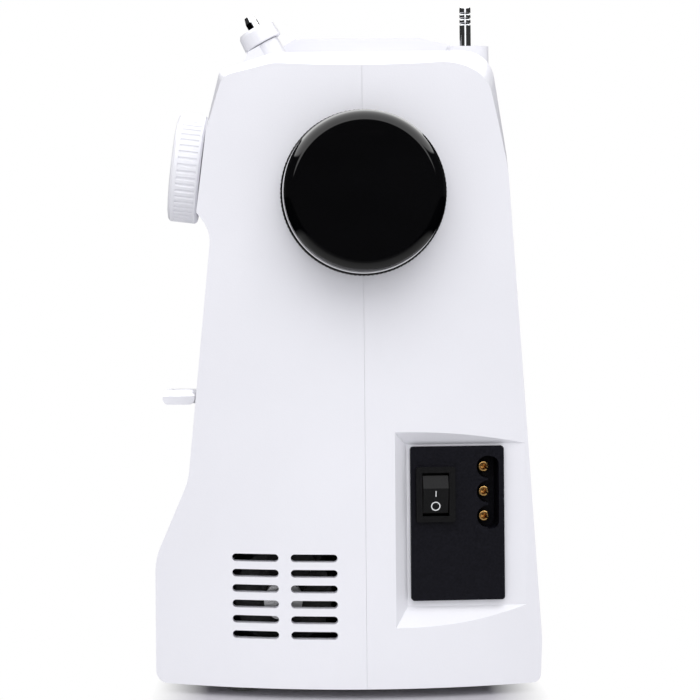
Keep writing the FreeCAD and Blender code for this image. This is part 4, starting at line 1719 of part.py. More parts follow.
inlet_pins = [rod("x", "inlet_pin_radius", "-inlet_depth", "-pin_sink", pin_y, z) for z in pin_heights]
piece(on_panel(group(*inlet_pins)), "inlet_pins")
bezel = rounded(block(("panel_thickness", "panel_thickness + bezel_height"), *switch_span("0")),
                size("bezel_round"),
                runs_along("x"))
switch_body = block(("-switch_depth", "panel_thickness"), *switch_span("switch_ledge"))
rocker_y = ("switch_y - rocker_width / 2", "switch_y + rocker_width / 2")
rocker_low = "switch_z - rocker_height / 2"
rocker_high = "switch_z + rocker_height / 2"
rocker_room = block(("-rocker_room_depth", "panel_thickness + 2 * bezel_height"),
                    (rocker_y[0] + " - gap", rocker_y[1] + " + gap"),
                    (rocker_low + " - gap", rocker_high + " + gap"))
axle_y = ("switch_y - switch_width / 2 + switch_ledge + snap_gap",
          "switch_y + switch_width / 2 - switch_ledge - snap_gap")
rocker_axle = rod("y", "rocker_pin_radius", *axle_y, "rocker_axis", "switch_z")
piece(on_panel(fuse(cut(fuse(bezel, switch_body), rocker_room), rocker_axle)), "switch_frame")
ridge_z = "switch_z + 0.15 * rocker_height"
rocker_profile = (("rocker_axis - rocker_root", rocker_low + " + rocker_root_inset"),
                  ("rocker_face - rocker_low", rocker_low + " + rocker_end"),
                  ("rocker_face + rocker_ridge", ridge_z),
                  ("rocker_face - rocker_high", rocker_high + " - rocker_end"),
                  ("rocker_axis - rocker_root", rocker_high + " - rocker_root_inset"))
rocker_form = plate("XZ_Plane", rocker_profile, *rocker_y)
rocker_bore = rod("y", "rocker_pin_radius + fit", "switch_y - switch_width / 2",
                  "switch_y + switch_width / 2",
                  "rocker_axis", "switch_z")
piece(on_panel(cut(rocker_form, rocker_bore)), "switch_rocker")

# Sewing lamp in the underside of the head and the screws of the rear shell
lamp_profile = (("0", "0"), ("-lamp_bulge", "lamp_radius * 0.6"), ("0", "lamp_radius"),
                ("lamp_depth", "lamp_radius"),
                ("lamp_depth", "0"))
piece(turned("z", ("lamp_x", "lamp_y", "head_z"), lamp_profile), "sewing_lamp")
column_screw_x = size("column_x") + size("screw_column")
left_screw_x = size("shell_left") + size("screw_left")
arm_screw_z = size("arm_z") + size("screw_arm")
screw_places = (
    (column_screw_x, size("rim_z") + size("screw_low")), (column_screw_x, size("arm_z") - size("screw_mid")),
    (0, arm_screw_z), (left_screw_x, arm_screw_z), (left_screw_x, size("head_z") + size("screw_head")))


def screw_head(x, z):
    """A flat screw head on the rear face, with a cross recess square to the screw's axis."""
    probe = Part.makeLine(Vector(x, size("seam_y"), z), Vector(x, 2 * size("base_half"), z)).common(casing)
    surface = probe.BoundBox.YMax
    top = "%g + screw_height" % surface
    head = rod("y", "screw_radius", "%g - screw_sink" % surface, top, "%g" % x, "%g" % z)
    depth = (top + " - cross_depth", top + " + overshoot")
    long_side = ("%g - cross_length", "%g + cross_length")
    short_side = ("%g - cross_half", "%g + cross_half")
    bars = [block([text % x for text in across], depth, [text % z for text in up])
            for across, up in ((long_side, short_side), (short_side, long_side))]
    return cut(head, casing_form, *bars)


piece(group(*[screw_head(x, z) for x, z in screw_places]), "casing_screws")

# Every piece must be sound before its file is written
doc.recompute()
for item in doc.Objects:
    if "Invalid" in item.State or "Error" in item.State:
        raise SystemExit("failed: " + item.Label)
os.makedirs("parts", exist_ok=True)
for item in pieces:
    shape = item.Shape
    if shape.isNull() or not shape.isValid() or not shape.Solids:
        raise SystemExit("bad shape: " + item.Label)
    shape.exportStep("parts/%s.step" % item.Label)
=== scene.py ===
"""Free-arm sewing machine, seen from its handwheel end."""
import math
import bmesh
import bpy
import numpy as np
from mathutils import Matrix, Vector


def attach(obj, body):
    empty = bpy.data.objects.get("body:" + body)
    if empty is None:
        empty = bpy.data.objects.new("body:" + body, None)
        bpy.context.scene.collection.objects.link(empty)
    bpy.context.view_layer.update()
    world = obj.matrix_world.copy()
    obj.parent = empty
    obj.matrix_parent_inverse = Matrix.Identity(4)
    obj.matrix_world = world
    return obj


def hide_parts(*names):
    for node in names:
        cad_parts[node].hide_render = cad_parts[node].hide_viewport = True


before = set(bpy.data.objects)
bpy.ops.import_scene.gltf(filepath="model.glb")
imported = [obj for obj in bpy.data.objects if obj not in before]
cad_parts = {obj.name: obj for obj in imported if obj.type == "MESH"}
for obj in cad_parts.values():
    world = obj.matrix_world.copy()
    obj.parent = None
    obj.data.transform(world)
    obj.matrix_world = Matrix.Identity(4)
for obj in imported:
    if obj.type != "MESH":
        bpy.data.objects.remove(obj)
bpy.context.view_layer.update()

# Main frame: one die-cast aluminium casting that stands on the base tray and carries every shaft and bar.
# It keeps the dull, slightly pitted skin of the die, with a bright ground ring round the main shaft's bushes.


class Flow:
    """One socket of a finish. Sums, differences and products of flows add Math nodes."""

    NOISE_RANGE = (0.3, 0.7)

    def __init__(self, socket):
        self.socket = socket

    def node(self, kind, settings, sockets, output=0):
        """Adds a shader node: its settings first, then the values or links of its sockets."""
        tree = self.socket.id_data
        made = tree.nodes.new("ShaderNode" + kind)
        for name, value in settings.items():
            setattr(made, name, value)
        for name, value in sockets.items():
            if isinstance(value, Flow):
                tree.links.new(value.socket, made.inputs[name])
            else:
                made.inputs[name].default_value = value
        return Flow(made.outputs[output]) if made.outputs else None

    def math(self, operation, *others):
        """Adds a Math node that takes this flow first, then the others."""
        return self.node("Math", {"operation": operation}, dict(enumerate((self,) + others)))

    def __add__(self, other):
        return self.math("ADD", other)

    def __sub__(self, other):
        return self.math("SUBTRACT", other)

    def __rsub__(self, other):
        return self.node("Math", {"operation": "SUBTRACT"}, {0: other, 1: self})

    def __mul__(self, other):
        return self.math("MULTIPLY", other)

    __radd__ = __add__
    __rmul__ = __mul__

    def noise(self, size, detail=2.0, stretch=(1, 1, 1)):
        """Cloudy noise from 0 to 1, in patches of a size in metres, drawn out where stretch is small."""
        placed = self.node("Mapping", {}, {"Vector": self, "Scale": stretch})
        return self.node("TexNoise", {}, {"Vector": placed, "Scale": 1 / size, "Detail": detail})

    def ramp(self, low, high, first, last):
        """Maps low to high onto first to last, without going past either end."""
        return self.node("MapRange", {}, {0: self, 1: low, 2: high, 3: first, 4: last})

    def blend(self, first, last):
        """Mixes two colours, with this flow from 0 to 1 as the share of the last one."""
        return self.node("Mix", {"data_type": "RGBA"}, {0: self, 6: first, 7: last}, output=2)

    def spread(self, first, last):
        """Maps the values that noise mostly has onto first to last."""
        return self.ramp(*self.NOISE_RANGE, first, last)

    def tones(self, first, last):
        """Mixes two colours by noise."""
        return self.spread(0, 1).blend(first, last)

    def part(self, axis):
        """The X, Y or Z of a vector."""
        return self.node("SeparateXYZ", {}, {0: self}, output="XYZ".index(axis))

    def apart(self, middle):
        """Distance to either side of a middle value."""
        return (self - middle).math("ABSOLUTE")

    def off_axis(self, first, last, middle):
        """Distance from a line along the third axis through a middle point."""
        across = self.part(first) - middle[0]
        up = self.part(last) - middle[1]
        return (across * across + up * up).math("SQRT")


def finish(name):
    """A new finish and the flow of object coordinates, in metres, that its patterns start from."""
    material = bpy.data.materials.new(name)
    material.use_nodes = True
    material.node_tree.nodes.clear()
    coordinates = material.node_tree.nodes.new("ShaderNodeTexCoord")
    return material, Flow(coordinates.outputs["Object"])


def seal(material, place, sockets, height=None, depth=0.0):
    """Ends a finish with a Principled surface, and a bump of that depth in metres where a height is given."""
    if height is not None:
        sockets["Normal"] = place.node("Bump", {}, {"Height": height, "Distance": depth, "Strength": 1.0})
    surface = place.node("BsdfPrincipled", {}, sockets)
    place.node("OutputMaterial", {}, {"Surface": surface})
    return material


def dress(material, *nodes):
    """Gives CAD nodes a finish."""
    for name in nodes:
        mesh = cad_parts[name].data
        mesh.materials.clear()
        mesh.materials.append(material)


def rgb(red, green, blue):
    """A colour with full alpha."""
    return (red, green, blue, 1.0)


SHAFT = (0.0066, 0.1918)
GROUND_EDGE = (0.0095, 0.0105)
casting, place = finish("die_cast_aluminium")
pits = place.noise(0.0011, 4)
cloud = place.noise(0.03)
ground = place.off_axis("Y", "Z", SHAFT).ramp(*GROUND_EDGE, 1, 0)
cast_grey = (cloud * 0.7 + pits * 0.3).tones(rgb(0.36, 0.37, 0.385), rgb(0.52, 0.53, 0.545))
seal(casting, place, {"Base Color": ground.blend(cast_grey, rgb(0.68, 0.68, 0.69)), "Metallic": 0.85,
                      "Roughness": cloud.spread(0.42, 0.6) - ground * 0.2}, pits, 0.0004)
dress(casting, "main_frame")

# Bushes: short tubes of sintered bronze pressed into the frame's lugs. The pressed powder leaves fine dark
# pores that hold oil.
bronze, place = finish("sintered_bronze")
pores = place.noise(0.00045, 3).ramp(0.36, 0.46, 1, 0)
seal(bronze, place, {"Base Color": pores.blend(rgb(0.46, 0.3, 0.15), rgb(0.16, 0.1, 0.05)), "Metallic": 0.9,
                     "Roughness": pores * 0.25 + 0.35}, 1 - pores, 0.0001)
dress(bronze, "frame_bushes")

# Shafts, bars and pins: drawn steel rods, ground to size between centres. Grinding leaves fine rings across
# the axis, so the finish comes in one version for each direction a rod can run.


def ground_steel(name, stretch, bright, rough):
    """Steel with fine grinding marks: noise squeezed along one axis and drawn out along the others."""
    material, place = finish(name)
    marks = place.noise(0.0003, 2, stretch)
    haze = place.noise(0.012)
    dark = bright * 0.8
    dark_steel, bright_steel = rgb(dark, dark, dark * 1.02), rgb(bright, bright, bright * 1.01)
    tone = (marks * 0.35 + haze * 0.65).tones(dark_steel, bright_steel)
    return seal(material, place, {"Base Color": tone, "Metallic": 0.75,
                                  "Roughness": marks.spread(rough, rough + 0.14)}, marks, 0.00003)


rod_steel_x = ground_steel("ground_steel_x", (1, 0.05, 0.05), 0.6, 0.22)
rod_steel_z = ground_steel("ground_steel_z", (0.05, 0.05, 1), 0.62, 0.2)
flat_steel = ground_steel("milled_steel", (0.06, 1, 0.06), 0.55, 0.28)
dress(rod_steel_x, "main_shaft", "lower_shaft", "frame_pins", "casing_pins", "crank_disc", "motor_pulley")
dress(rod_steel_z, "needle_bar", "presser_bar", "needle_clamp", "needle")
dress(flat_steel, "needle_link", "needle_stud", "presser_bracket", "presser_lifter", "take_up_lever")

# Rotary hook, presser foot and bobbin: the hook, foot, shank and clamp screw are hardened steel, polished
# where thread or cloth slides over them. The bobbin is spun aluminium, with fine rings round its axis.


def grained(name, grain, colours, rough, depth, others):
    """A finish from one noise of a size, detail and stretch. It mixes two colours, sets the roughness between
    two values and lifts the surface by a depth in metres; the other sockets keep one value."""
    material, place = finish(name)
    marks = place.noise(*grain)
    sockets = {"Base Color": marks.tones(*colours), "Roughness": marks.spread(*rough), **others}
    return seal(material, place, sockets, marks, depth)


polished_steel = grained("polished_hook_steel", (0.0009, 3, (0.3, 1, 1)),
                         (rgb(0.6, 0.6, 0.62), rgb(0.72, 0.72, 0.73)), (0.12, 0.24), 0.00002,
                         {"Metallic": 0.7})
dress(polished_steel, "rotary_hook", "presser_shank", "presser_foot", "clamp_screw")
spun_aluminium = ground_steel("spun_aluminium", (1, 0.08, 0.08), 0.74, 0.25)
dress(spun_aluminium, "bobbin")

# Belts and pulleys: the belt wheel and timing pulleys are black nylon with a fine dull skin, as are the
# bobbin case, the dial's spindle and the motor's saddle. The belts are rubber over cord, with teeth pressed
# across the inner face.


def wave(along, pitch):
    """A sine wave from -1 to 1 that repeats at a pitch in metres."""
    return (along * (2 * math.pi / pitch)).math("SINE")


TOOTH_PITCH = 0.003
nylon, place = finish("black_nylon")
specks = place.noise(0.0006, 3)
seal(nylon, place, {"Base Color": place.noise(0.02).tones(rgb(0.018, 0.018, 0.019), rgb(0.036, 0.036, 0.038)),
                    "Roughness": specks.spread(0.42, 0.6)}, specks, 0.00012)
dress(nylon, "belt_wheel", "upper_timing_pulley", "lower_timing_pulley", "bobbin_case", "dial_spindle",
      "motor_saddle")
belt_rubber, place = finish("belt_rubber")
teeth = wave(place.part("Z"), TOOTH_PITCH)
fuzz = place.noise(0.0008, 4)
belt_black = fuzz.ramp(0.3, 0.75, 0, 1).blend(rgb(0.012, 0.012, 0.012), rgb(0.045, 0.044, 0.042))
seal(belt_rubber, place, {"Base Color": belt_black, "Roughness": fuzz.spread(0.65, 0.9)},
     teeth * 0.5 + fuzz * 0.3, 0.0006)
dress(belt_rubber, "drive_belt", "timing_belt")

# Motor: a rolled steel can with black stove paint, worn thin on the rim of its end bells, that lies in a
# saddle on the base tray. The paint dries with the slight waviness of sprayed enamel.
MOTOR_AXIS = (-0.025, 0.036)
WORN_EDGE = (0.0232, 0.0242)
stove_paint, place = finish("stove_paint")
orange_peel = place.noise(0.0014, 2)
rim = place.off_axis("Y", "Z", MOTOR_AXIS).ramp(*WORN_EDGE, 0, 1)
worn = rim * place.noise(0.003, 4).ramp(0.52, 0.6, 0, 1)
seal(stove_paint, place, {"Base Color": worn.blend(rgb(0.022, 0.023, 0.026), rgb(0.32, 0.32, 0.33)),
                          "Metallic": worn * 0.8, "Roughness": orange_peel.spread(0.28, 0.42)},
     orange_peel, 0.00025)
dress(stove_paint, "motor")

# Casing: two white moulded shells that meet on a seam down the end face, with the arm cover, face cover,
# base tray and slide-on box in the same plastic. The tool leaves a very fine grain on all of them.


def moulded_white(name, tint, rough, grain, depth):
    """White plastic: a fine grain, a faint cloudiness of the pigment, and a slightly uneven gloss."""
    material, place = finish(name)
    texture = place.noise(grain, 3)
    cloud = place.noise(0.05, 2)
    shade = [value * 0.975 for value in tint]
    pigment = (cloud * 0.8 + texture * 0.2).tones(rgb(*shade), rgb(*tint))
    return seal(material, place, {"Base Color": pigment, "Roughness": cloud.spread(rough, rough + 0.08),
                                  "Coat Weight": 0.15, "Coat Roughness": 0.18, "IOR": 1.5}, texture, depth)


WHITE = (0.83, 0.83, 0.875)
shell_white = moulded_white("shell_white", WHITE, 0.36, 0.0006, 0.00003)
dress(shell_white, "front_shell", "rear_shell", "face_cover", "free_arm_cover", "accessory_box",
      "accessory_lid")
tray_white = moulded_white("tray_white", (0.78, 0.78, 0.81), 0.5, 0.001, 0.0001)
dress(tray_white, "base_tray")

# Needle plate, slide plate and feed dog: pressed steel sheet, brushed along the cloth's way, with seam guide
# lines cut into the needle plate at even steps from the needle.
NEEDLE_X = -0.128
GUIDE_STEP = 0.005
GUIDE_REACH = 0.02
plate_steel, place = finish("brushed_plate_steel")
brush = place.noise(0.0004, 2, (1, 0.02, 1))
step = place.part("X").apart(NEEDLE_X) * (1 / GUIDE_STEP)
line = step.apart(step.math("ROUND")).ramp(0.02, 0.05, 1, 0) * step.ramp(1.9, 2.0, 0, 1)
line = line * place.part("Y").apart(SHAFT[0]).ramp(GUIDE_REACH, GUIDE_REACH + 0.0003, 1, 0)
plate_grey = (brush * 0.5 + place.noise(0.01) * 0.5).tones(rgb(0.5, 0.5, 0.51), rgb(0.66, 0.66, 0.67))
seal(plate_steel, place, {"Base Color": line.blend(plate_grey, rgb(0.08, 0.08, 0.08)), "Metallic": 0.55,
                          "Roughness": brush.spread(0.32, 0.44) + line * 0.2}, brush - line * 3, 0.00001)
dress(plate_steel, "needle_plate", "slide_plate", "feed_dog")

# Rubber feet: moulded cups of dark grey rubber pressed into the base tray, with a dull skin that picks up
# dust. Each is hollowed a little underneath, so that it grips the table with its rim.


def skin(name, grids, material, body, crease=35):
    """One mesh over grids of points, with a quad in each cell. Rows run along a profile and columns around
    it, the last column joins the first, and poles are merged."""
    points, quads, start = [], [], 0
    for grid in grids:
        rows, columns = grid.shape[:2]
        index = np.arange(rows * columns).reshape(rows, columns) + start
        after = np.roll(index, -1, axis=1)
        quads.append(np.stack((index[:-1], after[:-1], after[1:], index[1:]), axis=-1).reshape(-1, 4))
        points.append(grid.reshape(-1, 3))
        start += rows * columns
    mesh = bpy.data.meshes.new(name)
    mesh.from_pydata(np.concatenate(points).tolist(), [], np.concatenate(quads).tolist())
    shape = bmesh.new()
    shape.from_mesh(mesh)
    bmesh.ops.remove_doubles(shape, verts=shape.verts, dist=1e-7)
    bmesh.ops.recalc_face_normals(shape, faces=shape.faces)
    shape.to_mesh(mesh)
    shape.free()
    return show(name, mesh, material, body, crease)


def show(name, mesh, material, body, crease=35):
    """Puts a finished mesh in the scene as a piece that rides on a body. Edges that bend more than the
    crease, in degrees, stay sharp."""
    mesh.shade_smooth()
    mesh.set_sharp_from_angle(angle=math.radians(crease))
    mesh.materials.append(material)
    piece = bpy.data.objects.new(name, mesh)
    bpy.context.scene.collection.objects.link(piece)
    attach(piece, body)
    return piece


def spun(base, axis, profile, count=72, swell=None):
    """A profile of (distance along the axis, radius) in millimetres spun round an axis from a base point.
    Where swell is given, swell(angles) is the radius added at each corner of the profile and each angle."""
    axis = np.array(axis, float) / np.linalg.norm(axis)
    side = np.cross(axis, (0.0, 0.0, 1.0) if abs(axis[2]) < 0.9 else (1.0, 0.0, 0.0))
    side /= np.linalg.norm(side)
    other = np.cross(axis, side)
    turn = np.linspace(0, 2 * np.pi, count, endpoint=False)
    profile = np.array(profile, float)
    radius = np.repeat(profile[:, 1:2], count, axis=1)
    if swell is not None:
        radius = radius + swell(turn)
    ring = np.cos(turn)[:, None] * side + np.sin(turn)[:, None] * other
    along = profile[:, 0, None, None] * axis
    return (np.array(base, float) + along + radius[:, :, None] * ring) / 1000


def rounding(start, corner, end, steps=8):
    """Points of a quarter bend from start to end that pulls towards a corner, as a quadratic curve."""
    t = np.linspace(0, 1, steps)[:, None]
    start, corner, end = np.array(start, float), np.array(corner, float), np.array(end, float)
    return ((1 - t) ** 2 * start + 2 * t * (1 - t) * corner + t ** 2 * end).tolist()


FOOT_PLACES = ((125, -40.6), (108, 44), (73, -54), (73, 56), (-144, -15.4), (-144, 28.6))
FOOT_RADIUS = 6.5
FOOT_HEIGHT = 3.8
HOLLOW_RADIUS, HOLLOW_DEPTH = 3.6, 0.6
foot_rubber, place = finish("foot_rubber")
dust = place.noise(0.004, 4)
foot_grey = dust.ramp(0.35, 0.7, 0, 1).blend(rgb(0.07, 0.07, 0.072), rgb(0.14, 0.138, 0.135))
seal(foot_rubber, place, {"Base Color": foot_grey, "Roughness": dust.spread(0.7, 0.9)},
     place.noise(0.0007, 3), 0.0002)
foot_profile = [[HOLLOW_DEPTH, 0], [HOLLOW_DEPTH, HOLLOW_RADIUS]]
foot_profile += rounding((HOLLOW_DEPTH, HOLLOW_RADIUS), (0, 4.2), (0, 5), 4)
foot_profile += rounding((0, 5.4), (0, FOOT_RADIUS), (1.2, FOOT_RADIUS), 6)
foot_profile += [[FOOT_HEIGHT - 0.5, FOOT_RADIUS], [FOOT_HEIGHT, FOOT_RADIUS - 0.4], [FOOT_HEIGHT, 0]]
foot_grids = [spun((x, y, 0), (0, 0, 1), foot_profile, 40) for x, y in FOOT_PLACES]
feet = skin("moulded_feet", foot_grids, foot_rubber, "machine")
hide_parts("rubber_feet")

# Handwheel: a black moulded flange with a ribbed edge for the thumb, fixed on the main shaft, and a polished
# black cap snapped over its face. The cap has a soft round shoulder, and a pale band on the lip at its back
# is a painted highlight.
WHEEL_MIDDLE = (0, SHAFT[0] * 1000, SHAFT[1] * 1000)
HUB_BORE = 5.05
CAP_BACK, CAP_FACE = 158.6, 175.0
CAP_RADIUS, LIP_RADIUS, FACE_RADIUS = 30.0, 30.5, 26.0
PAINTED_GLINT_EDGE = (0.16035, 0.1604)
piano_black, place = finish("piano_black")
wipe = place.noise(0.018, 3, (1, 0.35, 1))
hair = place.noise(0.0007, 2, (1, 0.03, 0.6)).ramp(0.63, 0.7, 0, 1)
ink = wipe.tones(rgb(0.0006, 0.0006, 0.0009), rgb(0.0012, 0.0012, 0.0016))
# Painted highlight: a pale band of colour round the back of the cap, standing in for a glint on its lip.
painted_glint = place.part("X").ramp(*PAINTED_GLINT_EDGE, 1, 0)
seal(piano_black, place, {"Base Color": painted_glint.blend(ink, rgb(0.75, 0.75, 0.78)),
                          "Roughness": wipe.ramp(0.35, 0.7, 0.02, 0.05) + hair * 0.03, "IOR": 1.5},
     wipe, 0.00002)
cap_profile = [[CAP_BACK, HUB_BORE], [CAP_BACK, 29.9]]
cap_profile += rounding((CAP_BACK, 30.2), (CAP_BACK, LIP_RADIUS), (CAP_BACK + 0.3, LIP_RADIUS), 4)
cap_profile += [[160.0, LIP_RADIUS], [160.3, LIP_RADIUS - 0.2], [160.4, CAP_RADIUS + 0.05]]
cap_profile += [[along, CAP_RADIUS] for along in np.linspace(162, 170, 6)] + [[172.4, CAP_RADIUS - 0.05]]
cap_profile += rounding((173.4, 29.4), (CAP_FACE, 28.45), (CAP_FACE, FACE_RADIUS), 20)
cap_profile += [[CAP_FACE, radius] for radius in np.linspace(FACE_RADIUS, 0, 11)[1:]]
wheel_cap = skin("polished_cap", [spun(WHEEL_MIDDLE, (1, 0, 0), cap_profile, 192)], piano_black, "main_drive",
                 crease=25)
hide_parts("handwheel_cap")

WHEEL_BACK, WHEEL_FRONT = 151.8, 158.5
WHEEL_RADIUS = 31.3
RIB_COUNT, RIB_HEIGHT = 120, 0.06
wheel_black, place = finish("wheel_black")
scuff = place.noise(0.0015, 4)
grip_black = scuff.ramp(0.35, 0.75, 0, 1).blend(rgb(0.0012, 0.0012, 0.0014), rgb(0.003, 0.003, 0.0032))
seal(wheel_black, place, {"Base Color": grip_black, "Roughness": scuff.spread(0.25, 0.36),
                          "Specular IOR Level": 0.2}, scuff, 0.00005)
wheel_profile = [[WHEEL_BACK, HUB_BORE], [WHEEL_BACK, 29.5], [151.9, 30.5], [152.3, WHEEL_RADIUS - 0.2]]
wheel_profile += [[along, WHEEL_RADIUS] for along in (153.0, 155.0, 156.8)]
wheel_profile += [[157.4, WHEEL_RADIUS - 0.2], [157.8, 30.6], [WHEEL_FRONT, 28.4], [WHEEL_FRONT, HUB_BORE]]


def grip_ribs(turn):
    """Flat-topped cosine ribs round the widest corners of the wheel's profile, and nothing on the others."""
    widest = np.array(wheel_profile)[:, 1:2] == WHEEL_RADIUS
    return widest * RIB_HEIGHT * np.clip(1.6 * np.cos(turn * RIB_COUNT), -0.6, 1)


ribbed_wheel = skin("ribbed_wheel", [spun(WHEEL_MIDDLE, (1, 0, 0), wheel_profile, 8 * RIB_COUNT, grip_ribs)],
                    wheel_black, "main_drive")
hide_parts("handwheel")

# Stitch dial: white moulded knob with a ribbed edge between two plain rims, pressed on a spindle in the
# fascia. Plain numbers are printed round its face, and a small grey mark on the fascia shows the chosen one.
# The winder's disc and carriage and the reverse lever are moulded in the same white.


def printing_ink(name, speck, colours, rough):
    """Printing ink: one colour that fine specks make a little lighter."""
    material, place = finish(name)
    return seal(material, place, {"Base Color": place.noise(speck, 3).tones(*colours), "Roughness": rough})


def printed(name, words, material, body):
    """Thin printed figures: each text with its height in metres and the matrix that lays it on a surface."""
    points, faces, start = [], [], 0
    for text, height, matrix in words:
        curve = bpy.data.curves.new(name, "FONT")
        curve.body = text
        curve.size = height
        curve.align_x = "CENTER"
        curve.align_y = "CENTER"
        curve.extrude = 0.00006
        curve.resolution_u = 3
        stamp = bpy.data.objects.new(name, curve)
        bpy.context.scene.collection.objects.link(stamp)
        mesh = bpy.data.meshes.new_from_object(stamp.evaluated_get(bpy.context.evaluated_depsgraph_get()))
        mesh.transform(matrix)
        points += [vertex.co[:] for vertex in mesh.vertices]
        faces += [[start + i for i in face.vertices] for face in mesh.polygons]
        start += len(mesh.vertices)
        bpy.data.objects.remove(stamp)
        bpy.data.curves.remove(curve)
        bpy.data.meshes.remove(mesh)
    mesh = bpy.data.meshes.new(name)
    mesh.from_pydata(points, [], faces)
    return show(name, mesh, material, body)


def facing(origin, outward, up):
    """A matrix that lays flat figures on a surface: their face along outward, their tops along up."""
    outward, up = Vector(outward).normalized(), Vector(up)
    up = (up - outward * up.dot(outward)).normalized()
    side = up.cross(outward)
    matrix = Matrix((side, up, outward)).transposed().to_4x4()
    matrix.translation = Vector(origin)
    return matrix


FASCIA_TILT = math.atan2(4.05, 33.4)
DIAL_AXIS = Vector((0, -math.cos(FASCIA_TILT), math.sin(FASCIA_TILT)))
DIAL_UP = Vector((0, math.sin(FASCIA_TILT), math.cos(FASCIA_TILT)))
DIAL_FOOT = Vector((0.108, -0.0572 + 0.0178 * math.tan(FASCIA_TILT), 0.2034))
DIAL_HEIGHT = 0.0125
STITCHES = 16
FIGURE_RING, FIGURE_HEIGHT = 0.0154, 0.0042
MARK_RING = 0.0255
MARK_RADIUS = 1.1
knob_white = moulded_white("knob_white", (0.84, 0.84, 0.88), 0.32, 0.0005, 0.00002)
dress(knob_white, "stitch_dial", "winder_disc", "winder_carriage", "reverse_lever")
print_grey = printing_ink("print_grey", 0.0008, (rgb(0.13, 0.135, 0.15), rgb(0.19, 0.195, 0.21)), 0.55)
dial_words = []
for i in range(STITCHES):
    spoke = Matrix.Rotation(-2 * math.pi * i / STITCHES, 3, DIAL_AXIS) @ DIAL_UP
    spot = DIAL_FOOT + DIAL_AXIS * DIAL_HEIGHT + spoke * FIGURE_RING
    dial_words.append((str(i + 1), FIGURE_HEIGHT, facing(spot, DIAL_AXIS, spoke)))
dial_figures = printed("dial_figures", dial_words, print_grey, "dial")
mark_base = (DIAL_FOOT + DIAL_UP * MARK_RING) * 1000
mark_profile = [[-0.2, 0], [-0.2, MARK_RADIUS], [0.08, MARK_RADIUS], [0.12, MARK_RADIUS - 0.2], [0.12, 0]]
index_mark = skin("index_mark", [spun(mark_base, DIAL_AXIS, mark_profile, 24)], print_grey, "machine")

# Tension wheel: grey moulded dial that stands out of the front top edge of the head on its axle. Plain
# numbers run round its rim between fine ribs.
TENSION_MIDDLE = Vector((-0.089, -0.030, 0.2275))
TENSION_RIM = 0.02251
TENSION_RIBS = 120
SMOOTH_BAND = (0.0028, 0.003)
NUMBER_STEP, THREE_AT = 30, 135
NUMBER_HEIGHT = 0.0046
dial_grey, place = finish("tension_grey")
around = place.node("Math", {"operation": "ARCTAN2"}, {0: place.part("Z") - TENSION_MIDDLE.z,
                                                       1: place.part("Y") - TENSION_MIDDLE.y})
beyond_band = place.part("X").apart(TENSION_MIDDLE.x).ramp(*SMOOTH_BAND, 0, 1)
edge_ribs = (around * TENSION_RIBS).math("SINE") * beyond_band
fine = place.noise(0.0007, 3)
seal(dial_grey, place, {"Base Color": fine.tones(rgb(0.40, 0.41, 0.43), rgb(0.46, 0.47, 0.49)),
                        "Roughness": fine.spread(0.42, 0.54)}, edge_ribs * 0.5 + fine * 0.1, 0.0006)
dress(dial_grey, "tension_wheel")
tension_words = []
for number in range(10):
    angle = math.radians(THREE_AT - NUMBER_STEP * (number - 3))
    out = Vector((0, math.cos(angle), math.sin(angle)))
    spot = TENSION_MIDDLE + out * TENSION_RIM
    tension_words.append((str(number), NUMBER_HEIGHT, facing(spot, out, (0, 0, 1))))
print_dark = printing_ink("print_dark", 0.0008, (rgb(0.03, 0.03, 0.032), rgb(0.06, 0.06, 0.062)), 0.5)
tension_figures = printed("tension_figures", tension_words, print_dark, "tension")

# Bobbin winder and spool pin: bright chrome-plated steel pins. The winder's spindle tapers at its tip to take
# a bobbin. The spool pin has a pointed tip and three sharp grooves, and slides up out of its seat.
PIN_PLACE = (115, 48.65, 0)
PIN_FOOT, PIN_TOP, PIN_RADIUS = 205, 267.6, 2.2
GROOVES_BELOW_TOP = (7.2, 5.2, 3.2)
GROOVE = ((0.97, 0), (0.7, 0.22), (0.4, 0.45), (0.06, 0.45), (0, 0.4), (0, 0.04), (-0.06, 0))
chrome = grained("chrome_plate", (0.0005, 2, (1, 1, 0.06)), (rgb(0.6, 0.61, 0.63), rgb(0.72, 0.73, 0.75)),
                 (0.03, 0.08), 0.00001, {"Metallic": 1.0})
pin_profile = [[PIN_FOOT, 0], [PIN_FOOT, PIN_RADIUS - 0.25], [PIN_FOOT + 0.3, PIN_RADIUS]]
pin_profile += [[height, PIN_RADIUS] for height in (215, 230, 245, 254)]
for top in GROOVES_BELOW_TOP:
    pin_profile += [[PIN_TOP - top - along, PIN_RADIUS - depth] for along, depth in GROOVE]
pin_profile += rounding((PIN_TOP - 1.7, PIN_RADIUS), (PIN_TOP - 1.1, PIN_RADIUS), (PIN_TOP - 0.85, 1.7), 6)
pin_profile += rounding((PIN_TOP - 0.25, 0.6), (PIN_TOP, 0.2), (PIN_TOP, 0), 5)
pin_grid = spun(PIN_PLACE, (0, 0, 1), pin_profile, 64)
bright_pin = skin("bright_spool_pin", [pin_grid], chrome, "spool", crease=28)
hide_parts("spool_pin")
dress(chrome, "winder_spindle")

